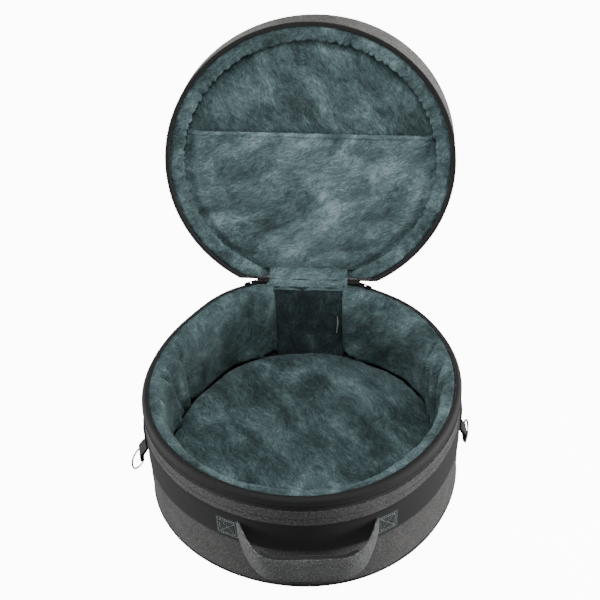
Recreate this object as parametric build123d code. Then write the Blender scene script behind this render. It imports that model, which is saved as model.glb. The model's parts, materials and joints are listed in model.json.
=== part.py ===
from build123d import *
import math
import os

# Round soft carry case with a zipped padded lid, shown standing open.
# Millimetres, +Z up, origin at the middle of the underside.
# -Y is the front (carry handle), +Y the back (lid hinge).

# tub, overall
TUB_R = 300.0            # outside radius of the canvas wall
RIM_Z = 242.0            # top of the padded rim above the floor
BACK_FLAT = 20.0         # how far the hinge flat is cut into the round wall
HINGE_TURN = -2.2        # degrees the hinge line is turned about the case axis

# sheet goods
CANVAS_T = 2.5           # canvas panels with their backing
BAND_STAND = 0.6         # the black band stands proud of the canvas
LINING_T = 4.0           # plush lining with its scrim
BOARD_T = 3.0            # stiff base board
FOAM_T = 9.0             # firm foam in the wall
BASE_FOAM_T = 10.0       # firm foam under the floor cushion

# outside panels
TAPE_H = 29.0            # height of the rim tape, down from the rim
STRIP_H = 35.0           # upper canvas strip under the tape
BAND_H = 72.0            # black band under the strip
PIPING_R = 2.4           # piping round the base seam
RIM_W = 12.5             # the tape turns in over the rim by this much

# inside padding
PAD_T = 29.5             # wall padding with its lining, at mid height
PAD_GAP_HALF = 66.0      # half the gap between the two ends of the padding
CUSHION_T = 46.0         # floor cushion near its rim
CUSHION_CROWN = 9.0      # extra height in the middle of the cushion

# lid
ZIP_TAPE_W = 7.5         # rim lining edge to the lid wall, both zip tapes between
LID_DEPTH = 51.0         # face of the lid to its outer top
LID_LIFT = 1.5           # gap between rim and lid face when shut
LID_FOAM_T = 24.0        # foam in the top of the lid
LID_OPEN = 105.6         # degrees the lid stands open
HINGE_IN = 16.0          # folding line in front of the back wall
HINGE_DROP = 10.0        # folding line below the rim
HINGE_REACH = 18.0       # folding line to the back edge of the lid, shut
ROLL_W = 34.0            # padded roll, lid wall to its inside edge
ROLL_GAP_HALF = 78.0     # half the gap between the two ends of the roll
POCKET_TUCK = 5.0        # the pocket edge goes this far under the roll
POCKET_MOUTH_Y = -60.0   # line of the pocket mouth, measured when shut
POCKET_BACK = 14.0       # crease of the pocket in front of the lid's back edge
POCKET_T = 4.0
POCKET_GAP = 6.0         # the mouth stands this far off the lining
HEM_W = 10.0             # folded hem along the mouth

# zip
CHAIN_R = 1.4            # half thickness of one zip chain
LID_LIP = 2.6            # zip tape lip standing out from the lid edge
CHAIN_END = 5.0          # a chain starts this far round from the end of a flat
SLIDER_L = 12.0
SLIDER_T = 1.2
PULL_L = 20.0
PULL_W = 7.0
PULL_T = 1.6

# carry handle
HANDLE_TURN = 1.4        # degrees the handle is turned about the case axis
PATCH_SPREAD = 148.5     # handle middle to a patch middle, along the wall
PATCH_W = 46.0
PATCH_H = 48.0
PATCH_T = 3.0
PATCH_LOW = 4.0          # patch middle below the middle of the band
STRAP_T = 2.6
STRAP_BEND = 3.8         # how tightly the strap bends next to its ends
STRAP_H = 48.0
HANDLE_OUT = 46.0        # strap middle stands this far off the wall
HANDLE_DROOP = 30.0      # strap middle hangs this far below the patches
GRIP_T = 17.0            # thickness of the padded grip
STRAP_STEPS = 8          # sections of the strap on each side of its middle
GRIP_STEPS = 6           # the padded grip covers this many of them

# ring tabs
TAB_W = 32.0
TAB_T = 3.2
TAB_SEWN_H = 56.0        # sewn part of a tab
TAB_DROP = 34.0          # the loop hangs this far below the sewn part
TAB_OUT = 10.0           # and this far out
TAB_LEFT_AT = 189.0      # degrees round the case
TAB_RIGHT_AT = 0.5
RING_WIRE_R = 1.9
RING_HALF = 19.0         # half the length of the straight bar
RING_REACH = 12.0        # straight legs of the ring before the bow

# clearances
SLIP = 0.35              # between pieces that move on each other
SEAT = 1.0               # small standing gaps between sewn layers

# sizes that follow from the ones above
CANVAS_IN_R = TUB_R - CANVAS_T
FOAM_IN_R = CANVAS_IN_R - FOAM_T
BAND_R = TUB_R + BAND_STAND
BACK_Y = TUB_R - BACK_FLAT
BACK_HALF = math.sqrt(TUB_R ** 2 - BACK_Y ** 2)
FOAM_BACK_Y = FOAM_IN_R - BACK_FLAT
STRIP_TOP = RIM_Z - TAPE_H
BAND_TOP = STRIP_TOP - STRIP_H
BAND_BOTTOM = BAND_TOP - BAND_H
BOARD_Z = CANVAS_T
BASE_FOAM_Z = BOARD_Z + BOARD_T
FLOOR_Z = BASE_FOAM_Z + BASE_FOAM_T
PAD_R = FOAM_IN_R - PAD_T
PAD_TOP_R = TUB_R - RIM_W
CUSHION_EDGE_Z = FLOOR_Z + CUSHION_T
CUSHION_MID_Z = CUSHION_EDGE_Z + CUSHION_CROWN
HINGE_Y = BACK_Y - HINGE_IN
HINGE_Z = RIM_Z - HINGE_DROP
LID_R = PAD_TOP_R - ZIP_TAPE_W
LID_FLAT_Y = HINGE_Y - HINGE_REACH
LID_FLAT = LID_R - LID_FLAT_Y
LID_IN_R = LID_R - CANVAS_T
LID_FACE_Z = RIM_Z + LID_LIFT
LID_TOP_Z = LID_FACE_Z + LID_DEPTH
LID_FOAM_Z = LID_TOP_Z - CANVAS_T - LID_FOAM_T
LID_LINING_Z = LID_FOAM_Z - LINING_T
LID_ROOM = LID_LINING_Z - LID_FACE_Z
ROLL_R_IN = LID_R - ROLL_W
POCKET_R = ROLL_R_IN + POCKET_TUCK
POCKET_BACK_Y = LID_FLAT_Y - POCKET_BACK
POCKET_Z = LID_LINING_Z - POCKET_GAP - POCKET_T
CHAIN_AT_R = PAD_TOP_R - 0.1
CHAIN_Z = RIM_Z + CHAIN_R + 0.2
HANDLE_Z = (BAND_TOP + BAND_BOTTOM) / 2 - PATCH_LOW
TAB_TOP = BAND_TOP - 2
TAB_SEWN = TAB_TOP - TAB_SEWN_H

# angles round the case, from the hinge middle or the handle middle
TUB_FLAT_HALF = math.degrees(math.acos(BACK_Y / TUB_R))
LID_FLAT_HALF = math.degrees(math.acos(LID_FLAT_Y / LID_R))
ZIP_HALF_GAP = TUB_FLAT_HALF + math.degrees(1.5 / TUB_R)
LID_ZIP_HALF_GAP = LID_FLAT_HALF + math.degrees(CHAIN_END / LID_R)
SLIDER_PARK = ZIP_HALF_GAP + math.degrees(0.93 * PULL_L / CHAIN_AT_R)
PATCH_AT = math.degrees(PATCH_SPREAD / BAND_R)

TURN = math.radians(HINGE_TURN)
HINGE_AXIS = Axis(
    (-HINGE_Y * math.sin(TURN), HINGE_Y * math.cos(TURN), HINGE_Z),
    (math.cos(TURN), math.sin(TURN), 0),
)


def outline(radius, flat):
    """Round plan outline with the straight hinge side cut off."""
    cutter = Pos(0, 3 * radius - flat) * Rectangle(4 * radius, 4 * radius)
    return Circle(radius) - cutter


def slab(radius, flat, z_low, z_high):
    """Flat-backed round plate between two heights."""
    return Pos(0, 0, z_low) * extrude(outline(radius, flat), z_high - z_low)


def wall(r_out, r_in, flat, z_low, z_high):
    """Flat-backed round wall, the same thickness on the flat."""
    return slab(r_out, flat, z_low, z_high) - slab(r_in, flat, z_low - 1, z_high + 1)


def side_face(points):
    """Face in the radius / height plane from straight lines."""
    return make_face(Plane.XZ * Polyline(*points, close=True))


def soft_face(curve, corners):
    """Face in the radius / height plane: one smooth edge, then straight ones."""
    smooth = Spline(*curve)
    rest = Polyline(curve[-1], *corners, curve[0])
    return make_face(Plane.XZ * (smooth + rest))


def shell_face(outer, inner):
    """Face between two smooth curves that run the same way."""
    edges = Spline(*outer) + Line(outer[-1], inner[-1]) + Spline(*inner) + Line(inner[0], outer[0])
    return make_face(Plane.XZ * edges)


def spun(face, half_gap):
    """Turn a face round the case, leaving a gap centred on the hinge."""
    body = revolve(face, Axis.Z, revolution_arc=360 - 2 * half_gap)
    return body.rotate(Axis.Z, 90 + half_gap)


def turned(part):
    return part.rotate(Axis.Z, HINGE_TURN)


def opened(part):
    """Lid pieces are drawn shut, then folded open about the hinge line."""
    return turned(part).rotate(HINGE_AXIS, -LID_OPEN)


def gap_degrees(half_width, radius):
    return math.degrees(math.asin(half_width / radius))


# ---- base ----

def base_panel():
    return turned(slab(CANVAS_IN_R, BACK_FLAT, 0, CANVAS_T))


def base_piping():
    """Piped seam standing out all round the foot of the wall."""
    cord = slab(TUB_R + PIPING_R, BACK_FLAT, 0, 2 * PIPING_R)
    cord = chamfer(cord.edges().group_by(Axis.Z)[-1] + cord.edges().group_by(Axis.Z)[0], 0.55 * PIPING_R)
    return turned(cord - slab(CANVAS_IN_R, BACK_FLAT, -1, 3 * PIPING_R))


def base_board():
    return turned(slab(FOAM_IN_R, BACK_FLAT, BOARD_Z, BASE_FOAM_Z))


def base_foam():
    return turned(slab(FOAM_IN_R, BACK_FLAT, BASE_FOAM_Z, FLOOR_Z))


# ---- outside wall ----

def lower_canvas():
    return turned(wall(TUB_R, CANVAS_IN_R, BACK_FLAT, 2 * PIPING_R, BAND_BOTTOM))


def middle_band():
    return turned(wall(BAND_R, CANVAS_IN_R, BACK_FLAT, BAND_BOTTOM, BAND_TOP))


def upper_strip():
    return turned(wall(TUB_R, CANVAS_IN_R, BACK_FLAT, BAND_TOP, STRIP_TOP))


def shoulder(inset):
    """Radius / height points of the rounded rim, set in by the tape thickness."""
    return [
        (TUB_R - inset, STRIP_TOP),
        (TUB_R - inset, RIM_Z - 15),
        (TUB_R - 3.0 - inset, RIM_Z - 6.5),
        (TUB_R - 7.5 - 0.7 * inset, RIM_Z - 1.6 - 0.9 * inset),
        (PAD_TOP_R, RIM_Z - inset),
    ]


def wall_foam():
    envelope = shoulder(CANVAS_T) + [(FOAM_IN_R, RIM_Z - CANVAS_T - 1), (0, RIM_Z - CANVAS_T - 1)]
    dome = revolve(side_face(envelope + [(0, BOARD_Z), (CANVAS_IN_R, BOARD_Z)]), Axis.Z)
    ring = wall(CANVAS_IN_R, FOAM_IN_R, BACK_FLAT, BOARD_Z, RIM_Z) & dome
    step = Pos(0, BACK_Y, RIM_Z) * Box(4 * BACK_Y, 60, 12)
    step = step & Pos(0, BACK_Y, RIM_Z) * Box(2 * BACK_HALF, 60, 12)
    return turned(ring - step)


def rim_tape():
    outer = shoulder(0)
    inner = shoulder(CANVAS_T)
    face = side_face(outer + inner[::-1])
    return turned(spun(face, TUB_FLAT_HALF + 0.05))


def zip_chain(radius, z, half_gap):
    bead = Pos(radius, 0, z) * (Rot(90, 0, 0) * Circle(CHAIN_R))
    return spun(bead, half_gap)


def tub_zip():
    return turned(zip_chain(CHAIN_AT_R + 0.2, CHAIN_Z - 0.2, ZIP_HALF_GAP))


# ---- inside padding ----

def pad_curve(depth):
    """Visible face of the wall padding, set back by a depth."""
    return [
        (PAD_TOP_R - 0.1, RIM_Z - 0.5 - depth),
        (PAD_R + 17 + 0.2 * depth, RIM_Z - 1.5 - depth),
        (PAD_R + 7 + 0.7 * depth, RIM_Z - 9 - 0.8 * depth),
        (PAD_R + 1.5 + depth, RIM_Z - 32),
        (PAD_R + depth, 0.55 * RIM_Z),
        (PAD_R + 2 + depth, FLOOR_Z + CUSHION_T + 20),
        (PAD_R + 3 + depth, FLOOR_Z),
    ]


def pad_half_gap():
    return gap_degrees(PAD_GAP_HALF, PAD_R + 12)


def behind_back_lining(part):
    """Keep padding pieces in front of the foam on the hinge flat."""
    return part - Pos(0, FOAM_BACK_Y + 50, 0) * Box(3 * TUB_R, 100, 4 * RIM_Z)


def wall_lining():
    face = shell_face(pad_curve(0), pad_curve(LINING_T))
    return turned(behind_back_lining(spun(face, pad_half_gap())))


def wall_padding():
    face = soft_face(pad_curve(LINING_T), [(FOAM_IN_R, FLOOR_Z), (FOAM_IN_R, RIM_Z - 0.5 - LINING_T)])
    return turned(behind_back_lining(spun(face, pad_half_gap())))


def cushion_curve(depth):
    rim = PAD_R - 0.6
    return [
        (0, CUSHION_MID_Z - depth),
        (0.5 * rim, CUSHION_MID_Z - 0.4 - depth),
        (0.86 * rim, CUSHION_MID_Z - 2.5 - depth),
        (rim - 8 - depth, CUSHION_EDGE_Z + 1 - depth),
        (rim - depth, CUSHION_EDGE_Z - 12),
        (rim - depth, FLOOR_Z),
    ]


def cushion_cover():
    core = revolve(soft_face(cushion_curve(LINING_T), [(0, FLOOR_Z)]), Axis.Z)
    whole = revolve(soft_face(cushion_curve(0), [(0, FLOOR_Z)]), Axis.Z)
    return whole - core


def cushion_foam():
    return revolve(soft_face(cushion_curve(LINING_T), [(0, FLOOR_Z)]), Axis.Z)


def back_lining():
    half = PAD_GAP_HALF + 5
    low = FLOOR_Z
    high = RIM_Z - 9
    depth = FOAM_BACK_Y - (PAD_R + 4)
    panel = Pos(0, FOAM_BACK_Y - depth / 2, (low + high) / 2) * Box(2 * half, depth, high - low)
    padding = soft_face(pad_curve(0), [(FOAM_IN_R, FLOOR_Z), (FOAM_IN_R, RIM_Z - 1)])
    return turned(panel - spun(padding, pad_half_gap()))


def care_label():
    label = Box(0.8, 14, 34)
    return turned(Pos(PAD_GAP_HALF - 8, PAD_R + 4 - 7, 0.6 * RIM_Z) * label)


# ---- lid ----

def lid_top():
    plate = slab(LID_R, LID_FLAT, LID_TOP_Z - CANVAS_T, LID_TOP_Z)
    return opened(chamfer(plate.edges().group_by(Axis.Z)[-1], 0.6 * CANVAS_T))


def lid_side():
    return opened(wall(LID_R, LID_IN_R, LID_FLAT, LID_FACE_Z + 7, LID_TOP_Z - CANVAS_T))


def lid_foam():
    return opened(slab(LID_IN_R, LID_FLAT, LID_FOAM_Z, LID_TOP_Z - CANVAS_T))


def lid_lining():
    return opened(slab(LID_IN_R, LID_FLAT, LID_LINING_Z, LID_FOAM_Z))


def hinge_notch():
    """Space left free of stiff edges where the hinge lining crosses."""
    return Pos(0, LID_FLAT_Y, LID_FACE_Z) * Box(2 * ROLL_GAP_HALF, 60, 2 * (LID_LINING_Z - LID_FACE_Z))


def lid_tape():
    band = wall(LID_R + 0.5, LID_IN_R - 1, LID_FLAT + 0.5, LID_FACE_Z, LID_FACE_Z + 7)
    lip = spun(side_face([
        (LID_R, LID_FACE_Z),
        (LID_R + LID_LIP, LID_FACE_Z),
        (LID_R + LID_LIP, LID_FACE_Z + 1.6),
        (LID_R, LID_FACE_Z + 1.6),
    ]), LID_ZIP_HALF_GAP)
    return opened(band + lip - hinge_notch())


def lid_zip():
    return opened(zip_chain(LID_R + LID_LIP + CHAIN_R, LID_FACE_Z + CHAIN_R, LID_ZIP_HALF_GAP))


def roll_curve(depth):
    """Visible face of the roll, set back by a depth."""
    outer = LID_IN_R - 1.2
    return [
        (outer - 0.2 * depth, LID_FACE_Z + 0.44 * LID_ROOM + depth),
        (outer - 4 - 0.5 * depth, LID_FACE_Z + 0.12 * LID_ROOM + 0.9 * depth),
        (outer - 15, LID_FACE_Z + 0.5 + depth),
        (ROLL_R_IN + 14, LID_FACE_Z + 0.1 * LID_ROOM + depth),
        (ROLL_R_IN + 4 + 0.6 * depth, LID_FACE_Z + 0.36 * LID_ROOM + 0.7 * depth),
        (ROLL_R_IN + depth, LID_FACE_Z + 0.68 * LID_ROOM),
        (ROLL_R_IN + 0.8 + depth, LID_LINING_Z),
    ]


def roll_half_gap():
    return gap_degrees(ROLL_GAP_HALF, LID_R - 22)


def clear_of_flat(part):
    """Keep the roll inside the flat back of the lid wall."""
    return part - Pos(0, LID_FLAT_Y + 50 - CANVAS_T - 1.5, LID_FACE_Z) * Box(3 * LID_R, 100, 200)


def roll_cover():
    face = shell_face(roll_curve(0), roll_curve(LINING_T))
    return opened(clear_of_flat(spun(face, roll_half_gap())))


def roll_wadding():
    curve = roll_curve(LINING_T)
    face = soft_face(curve, [(curve[0][0], LID_LINING_Z)])
    return opened(clear_of_flat(spun(face, roll_half_gap())))


def pocket_outline(radius, front_y, back_y):
    frame = Pos(0, (front_y + back_y) / 2) * Rectangle(3 * radius, back_y - front_y)
    return Circle(radius) & frame


def roll_keepout():
    """The roll with a little room, taken out of the pocket panel."""
    near = ROLL_R_IN - 0.4
    face = side_face([
        (near, LID_FACE_Z),
        (LID_R, LID_FACE_Z),
        (LID_R, LID_LINING_Z),
        (near, LID_LINING_Z),
    ])
    return spun(face, roll_half_gap() - 0.2)


def pocket_panel():
    sheet = extrude(pocket_outline(POCKET_R, POCKET_MOUTH_Y + HEM_W, POCKET_BACK_Y), POCKET_T)
    edge = extrude(pocket_outline(POCKET_R, POCKET_MOUTH_Y + HEM_W, POCKET_BACK_Y), POCKET_T + POCKET_GAP)
    inner = extrude(pocket_outline(POCKET_R - 12, POCKET_MOUTH_Y, POCKET_BACK_Y - 8), POCKET_T + POCKET_GAP)
    sewn_edge = Pos(0, 0, POCKET_Z) * (edge - inner)
    return opened((Pos(0, 0, POCKET_Z) * sheet + sewn_edge) - roll_keepout())


def pocket_hem():
    strip = extrude(pocket_outline(POCKET_R, POCKET_MOUTH_Y, POCKET_MOUTH_Y + HEM_W), POCKET_T + 1)
    return opened(Pos(0, 0, POCKET_Z - 0.5) * strip - roll_keepout())


# ---- soft hinge ----

def folded_open(y, z):
    """Where a point of the shut lid lies in the open case, before turning."""
    angle = math.radians(-LID_OPEN)
    dy = y - HINGE_Y
    dz = z - HINGE_Z
    new_y = HINGE_Y + dy * math.cos(angle) - dz * math.sin(angle)
    new_z = HINGE_Z + dy * math.sin(angle) + dz * math.cos(angle)
    return (new_y, new_z)


def bent_strip(upper, thickness, half):
    """Thin strip across the hinge through a line of (y, z) points."""
    lower = []
    for i, point in enumerate(upper):
        before = upper[max(i - 1, 0)]
        after = upper[min(i + 1, len(upper) - 1)]
        run = math.hypot(after[0] - before[0], after[1] - before[1])
        normal = ((after[1] - before[1]) / run, -(after[0] - before[0]) / run)
        lower.append((point[0] + normal[0] * thickness, point[1] + normal[1] * thickness))
    face = make_face(Plane.YZ * Polyline(*upper, *lower[::-1], close=True))
    return Pos(-half, 0, 0) * extrude(face, 2 * half, dir=(1, 0, 0))


def hinge_lining():
    """Plush strip from the back of the tub up to the crease in the lid."""
    crease = folded_open(POCKET_BACK_Y + 1.0, POCKET_Z)
    line = [
        (FOAM_BACK_Y - 5.4, RIM_Z - 4.5),
        (FOAM_BACK_Y + 1.0, RIM_Z + 0.8),
        (BACK_Y + 1.0, RIM_Z + 6.0),
        (crease[0], crease[1]),
    ]
    return turned(bent_strip(line, LINING_T, PAD_GAP_HALF - 2))


def hinge_canvas():
    """Outside flap sewn to the tub wall and to the back of the lid."""
    top = folded_open(LID_FLAT_Y + 1.8, LID_FACE_Z + 9.5)
    line = [
        (top[0], top[1]),
        (BACK_Y + 4.2, RIM_Z - 4.0),
        (BACK_Y + 3.0, RIM_Z - 12.0),
        (BACK_Y + 2.0, STRIP_TOP + 1.0),
    ]
    return turned(bent_strip(line, 1.5, BACK_HALF - 6))


def back_canvas():
    """Canvas on the hinge flat, above the upper strip."""
    panel = Pos(0, BACK_Y - CANVAS_T / 2, (STRIP_TOP + RIM_Z - 6) / 2)
    return turned(panel * Box(2 * BACK_HALF - 3, CANVAS_T, RIM_Z - 6 - STRIP_TOP))


# ---- carry handle ----

def handled(part):
    return part.rotate(Axis.Z, HANDLE_TURN)


def handle_patch(side):
    """End of the strap sewn flat on the black band."""
    half = math.degrees(PATCH_W / 2 / BAND_R)
    plate = side_face([
        (BAND_R, HANDLE_Z - PATCH_H / 2),
        (BAND_R + PATCH_T, HANDLE_Z - PATCH_H / 2),
        (BAND_R + PATCH_T, HANDLE_Z + PATCH_H / 2),
        (BAND_R, HANDLE_Z + PATCH_H / 2),
    ])
    patch = revolve(plate, Axis.Z, revolution_arc=2 * half)
    return handled(patch.rotate(Axis.Z, -90 + side * PATCH_AT - half))


def strap_end():
    """Start of the free strap, next to a patch: x, y."""
    angle = math.radians(PATCH_AT) - (PATCH_W / 2 + SEAT) / BAND_R
    reach = BAND_R + PATCH_T + 1.0
    return (reach * math.sin(angle), -reach * math.cos(angle))


def strap_sections(thickness, height, steps, inset):
    """Upright sections along the bowed strap, ready to loft."""
    end_x, end_y = strap_end()
    bow = TUB_R + HANDLE_OUT + end_y
    sections = []
    for i in range(-steps, steps + 1):
        along = i / STRAP_STEPS
        share = 1 - abs(along) ** STRAP_BEND
        slope = STRAP_BEND * abs(along) ** (STRAP_BEND - 1) * bow / end_x
        turn = math.atan(math.copysign(slope, along))
        place = (along * end_x, end_y - bow * share, HANDLE_Z - HANDLE_DROOP * share)
        across = (-math.sin(turn), math.cos(turn), 0)
        forward = (math.cos(turn), math.sin(turn), 0)
        plane = Plane(origin=place, x_dir=across, z_dir=forward)
        sections.append(plane * (Pos(inset + thickness / 2, 0) * Rectangle(thickness, height)))
    return sections


def handle_strap():
    return handled(loft(strap_sections(STRAP_T, STRAP_H, STRAP_STEPS, 0), ruled=True))


def handle_grip():
    return handled(loft(strap_sections(GRIP_T, STRAP_H - 4, GRIP_STEPS, STRAP_T), ruled=True))


# ---- ring tabs and rings ----

def ring_bar():
    """Radius and height of the ring's straight bar."""
    radius = BAND_R + TAB_T + TAB_OUT
    return (radius, TAB_SEWN - TAB_DROP)


def ring_tab(angle):
    """Doubled webbing: sewn part on the wall, then a hanging loop."""
    bar_r, bar_z = ring_bar()
    grip = RING_WIRE_R + SLIP
    foot = BAND_R + 0.02
    profile = make_face(Plane.XZ * Polyline(
        (foot, TAB_TOP),
        (foot + TAB_T, TAB_TOP),
        (foot + TAB_T, TAB_SEWN),
        (bar_r + grip + 1.6, bar_z),
        (bar_r - grip - 1.6, bar_z),
        (foot, TAB_SEWN - 4),
        close=True,
    ))
    strip = Pos(0, TAB_W / 2, 0) * extrude(profile, TAB_W, dir=(0, -1, 0))
    collar = Pos(bar_r, 0, bar_z) * (Rot(90, 0, 0) * Cylinder(grip + 1.6, TAB_W))
    bore = Pos(bar_r, 0, bar_z) * (Rot(90, 0, 0) * Cylinder(grip, TAB_W + 10))
    return (strip + collar - bore).rotate(Axis.Z, angle)


def d_ring(angle, tilt):
    """Wire D ring; tilt is measured from hanging straight down, outwards."""
    bar_r, bar_z = ring_bar()
    half = RING_HALF + RING_WIRE_R
    wire = RING_WIRE_R
    bar = Rot(90, 0, 0) * Cylinder(wire, 2 * half)
    bow = Rot(0, 90, 0) * Torus(half, wire)
    bow = Pos(0, 0, -RING_REACH) * (bow & Pos(0, 0, -half) * Box(4 * wire, 4 * half, 2 * half))
    legs = [Pos(0, side * half, -RING_REACH / 2) * Cylinder(wire, RING_REACH) for side in (-1, 1)]
    knees = [Pos(0, side * half, 0) * Sphere(wire) for side in (-1, 1)]
    ring = bar + bow + legs + knees
    ring = ring.rotate(Axis.Y, -tilt)
    return (Pos(bar_r, 0, bar_z) * ring).rotate(Axis.Z, angle)


# ---- zip sliders ----

def slider_frame(side):
    """Degrees round the case of a parked slider."""
    return 90 + HINGE_TURN + side * SLIDER_PARK


def slider_spans():
    """Inside radius, outside radius and underside height of a slider plate."""
    inner = LID_R + 2.0
    outer = CHAIN_AT_R + CHAIN_R + SLIP + SLIDER_T + 0.4
    low = LID_FACE_Z + 2 * CHAIN_R + SLIP
    return (inner, outer, low)


def slider_body():
    """Slider at the +X side of the case, its length along Y."""
    inner, outer, low = slider_spans()
    mid = (inner + outer) / 2
    plate = Pos(mid, 0, low + SLIDER_T / 2) * Box(outer - inner, SLIDER_L, SLIDER_T)
    lip = Pos(outer - SLIDER_T / 2, 0, low - 1.0) * Box(SLIDER_T, SLIDER_L, 2.0 + SLIDER_T)
    bridge = Pos(mid, 0, low + SLIDER_T + 2.0) * Box(3.0, SLIDER_L - 2, 4.0)
    window = Pos(mid, 0, low + SLIDER_T + 1.6) * Box(4.0, SLIDER_L - 6, 2.4)
    return plate + lip + bridge - window


def pull_body():
    """Pull tab lying along +Y, its eye bar through the slider bridge."""
    inner, outer, low = slider_spans()
    radius = (inner + outer) / 2
    height = low + SLIDER_T + 1.6
    eye = Pos(radius, 0, height) * Box(PULL_W, 1.2, 1.2)
    arm_off = (PULL_W - 1.4) / 2
    arms = [Pos(radius + s * arm_off, 4.4, height) * Box(1.4, 10.0, 1.2) for s in (-1, 1)]
    blade = Pos(radius, (PULL_L + 8.0) / 2, height) * Box(PULL_W, PULL_L - 8.0, PULL_T)
    return eye + arms + blade


def zip_slider(side):
    return slider_body().rotate(Axis.Z, slider_frame(side))


def zip_pull(side):
    """Each pull points from its slider towards the hinge."""
    part = pull_body()
    if side > 0:
        part = mirror(part, Plane.XZ)
    return part.rotate(Axis.Z, slider_frame(side))


PARTS = {
    "base_panel": base_panel,
    "base_piping": base_piping,
    "base_board": base_board,
    "base_foam": base_foam,
    "floor_cushion_cover": cushion_cover,
    "floor_cushion_foam": cushion_foam,
    "lower_canvas_wall": lower_canvas,
    "middle_band": middle_band,
    "upper_canvas_strip": upper_strip,
    "back_canvas": back_canvas,
    "wall_foam": wall_foam,
    "rim_tape": rim_tape,
    "tub_zip_chain": tub_zip,
    "wall_lining": wall_lining,
    "wall_padding": wall_padding,
    "back_lining": back_lining,
    "care_label": care_label,
    "lid_top_canvas": lid_top,
    "lid_side_canvas": lid_side,
    "lid_foam": lid_foam,
    "lid_lining": lid_lining,
    "lid_edge_tape": lid_tape,
    "lid_zip_chain": lid_zip,
    "lid_roll_cover": roll_cover,
    "lid_roll_wadding": roll_wadding,
    "pocket_panel": pocket_panel,
    "pocket_hem": pocket_hem,
    "hinge_lining": hinge_lining,
    "hinge_canvas": hinge_canvas,
    "handle_patch_left": lambda: handle_patch(-1),
    "handle_patch_right": lambda: handle_patch(1),
    "handle_strap": handle_strap,
    "handle_grip": handle_grip,
    "ring_tab_left": lambda: ring_tab(TAB_LEFT_AT),
    "ring_tab_right": lambda: ring_tab(TAB_RIGHT_AT),
    "d_ring_left": lambda: d_ring(TAB_LEFT_AT, 38),
    "d_ring_right": lambda: d_ring(TAB_RIGHT_AT, 172),
    "zip_slider_left": lambda: zip_slider(1),
    "zip_slider_right": lambda: zip_slider(-1),
    "zip_pull_left": lambda: zip_pull(1),
    "zip_pull_right": lambda: zip_pull(-1),
}


def main():
    os.makedirs("parts", exist_ok=True)
    for name, make in PARTS.items():
        part = make()
        export_step(part, "parts/" + name + ".step")


main()
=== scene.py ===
import json
import math

import bpy
from mathutils import Matrix, Vector, noise


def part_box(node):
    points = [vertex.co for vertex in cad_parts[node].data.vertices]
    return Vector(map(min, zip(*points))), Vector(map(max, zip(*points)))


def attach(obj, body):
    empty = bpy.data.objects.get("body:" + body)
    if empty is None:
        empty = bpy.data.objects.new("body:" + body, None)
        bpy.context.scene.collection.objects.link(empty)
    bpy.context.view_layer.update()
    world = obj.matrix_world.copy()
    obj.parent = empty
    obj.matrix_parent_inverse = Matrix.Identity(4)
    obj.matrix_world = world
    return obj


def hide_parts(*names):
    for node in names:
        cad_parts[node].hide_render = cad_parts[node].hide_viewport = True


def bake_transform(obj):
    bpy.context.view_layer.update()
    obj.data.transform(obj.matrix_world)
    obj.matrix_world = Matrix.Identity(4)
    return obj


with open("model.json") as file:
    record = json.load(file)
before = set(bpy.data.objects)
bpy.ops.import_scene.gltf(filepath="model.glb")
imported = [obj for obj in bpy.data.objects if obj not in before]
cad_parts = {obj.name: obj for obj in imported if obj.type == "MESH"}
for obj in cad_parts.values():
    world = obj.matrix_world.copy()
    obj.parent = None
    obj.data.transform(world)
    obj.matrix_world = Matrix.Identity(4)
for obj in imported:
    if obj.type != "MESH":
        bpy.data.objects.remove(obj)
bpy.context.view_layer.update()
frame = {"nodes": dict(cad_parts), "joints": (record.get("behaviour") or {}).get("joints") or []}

# Round soft carry case with a zipped, padded lid, shown standing open.
# Metres, +Z up, the front with the carry handle towards -Y, the hinge towards +Y.

MM = 0.001

# ---- sizes taken from the frame ----

JOINTS = {joint["name"]: joint for joint in frame["joints"]}
HINGE = JOINTS["lid_hinge"]
HINGE_AT = Vector(HINGE["pos_m"])
HINGE_LINE = Vector(HINGE["axis"]).normalized()
LID_OPEN = math.radians(HINGE["range_deg"][1])
TURN = math.atan2(HINGE_LINE.y, HINGE_LINE.x)
HINGE_Y = HINGE_AT.xy.length
HINGE_Z = HINGE_AT.z


def half_width(node_name):
    low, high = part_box(node_name)
    return (high.x - low.x) / 2


def top_of(node_name):
    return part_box(node_name)[1].z


TUB_R = half_width("upper_canvas_strip")
BAND_R = half_width("middle_band")
RIM_Z = top_of("rim_tape")
STRIP_TOP = top_of("upper_canvas_strip")
BAND_TOP = top_of("middle_band")
BAND_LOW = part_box("middle_band")[0].z
PIPE_H = top_of("base_piping")
FLOOR_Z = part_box("floor_cushion_cover")[0].z
CUSHION_R = half_width("floor_cushion_cover")
CUSHION_TOP = top_of("floor_cushion_cover")
PAD_TOP_R = half_width("wall_lining")
CHAIN_AT_R = half_width("tub_zip_chain") - 1.4 * MM
CHAIN_Z = top_of("tub_zip_chain") - 1.4 * MM

# ---- the maker's own sizes ----

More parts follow.
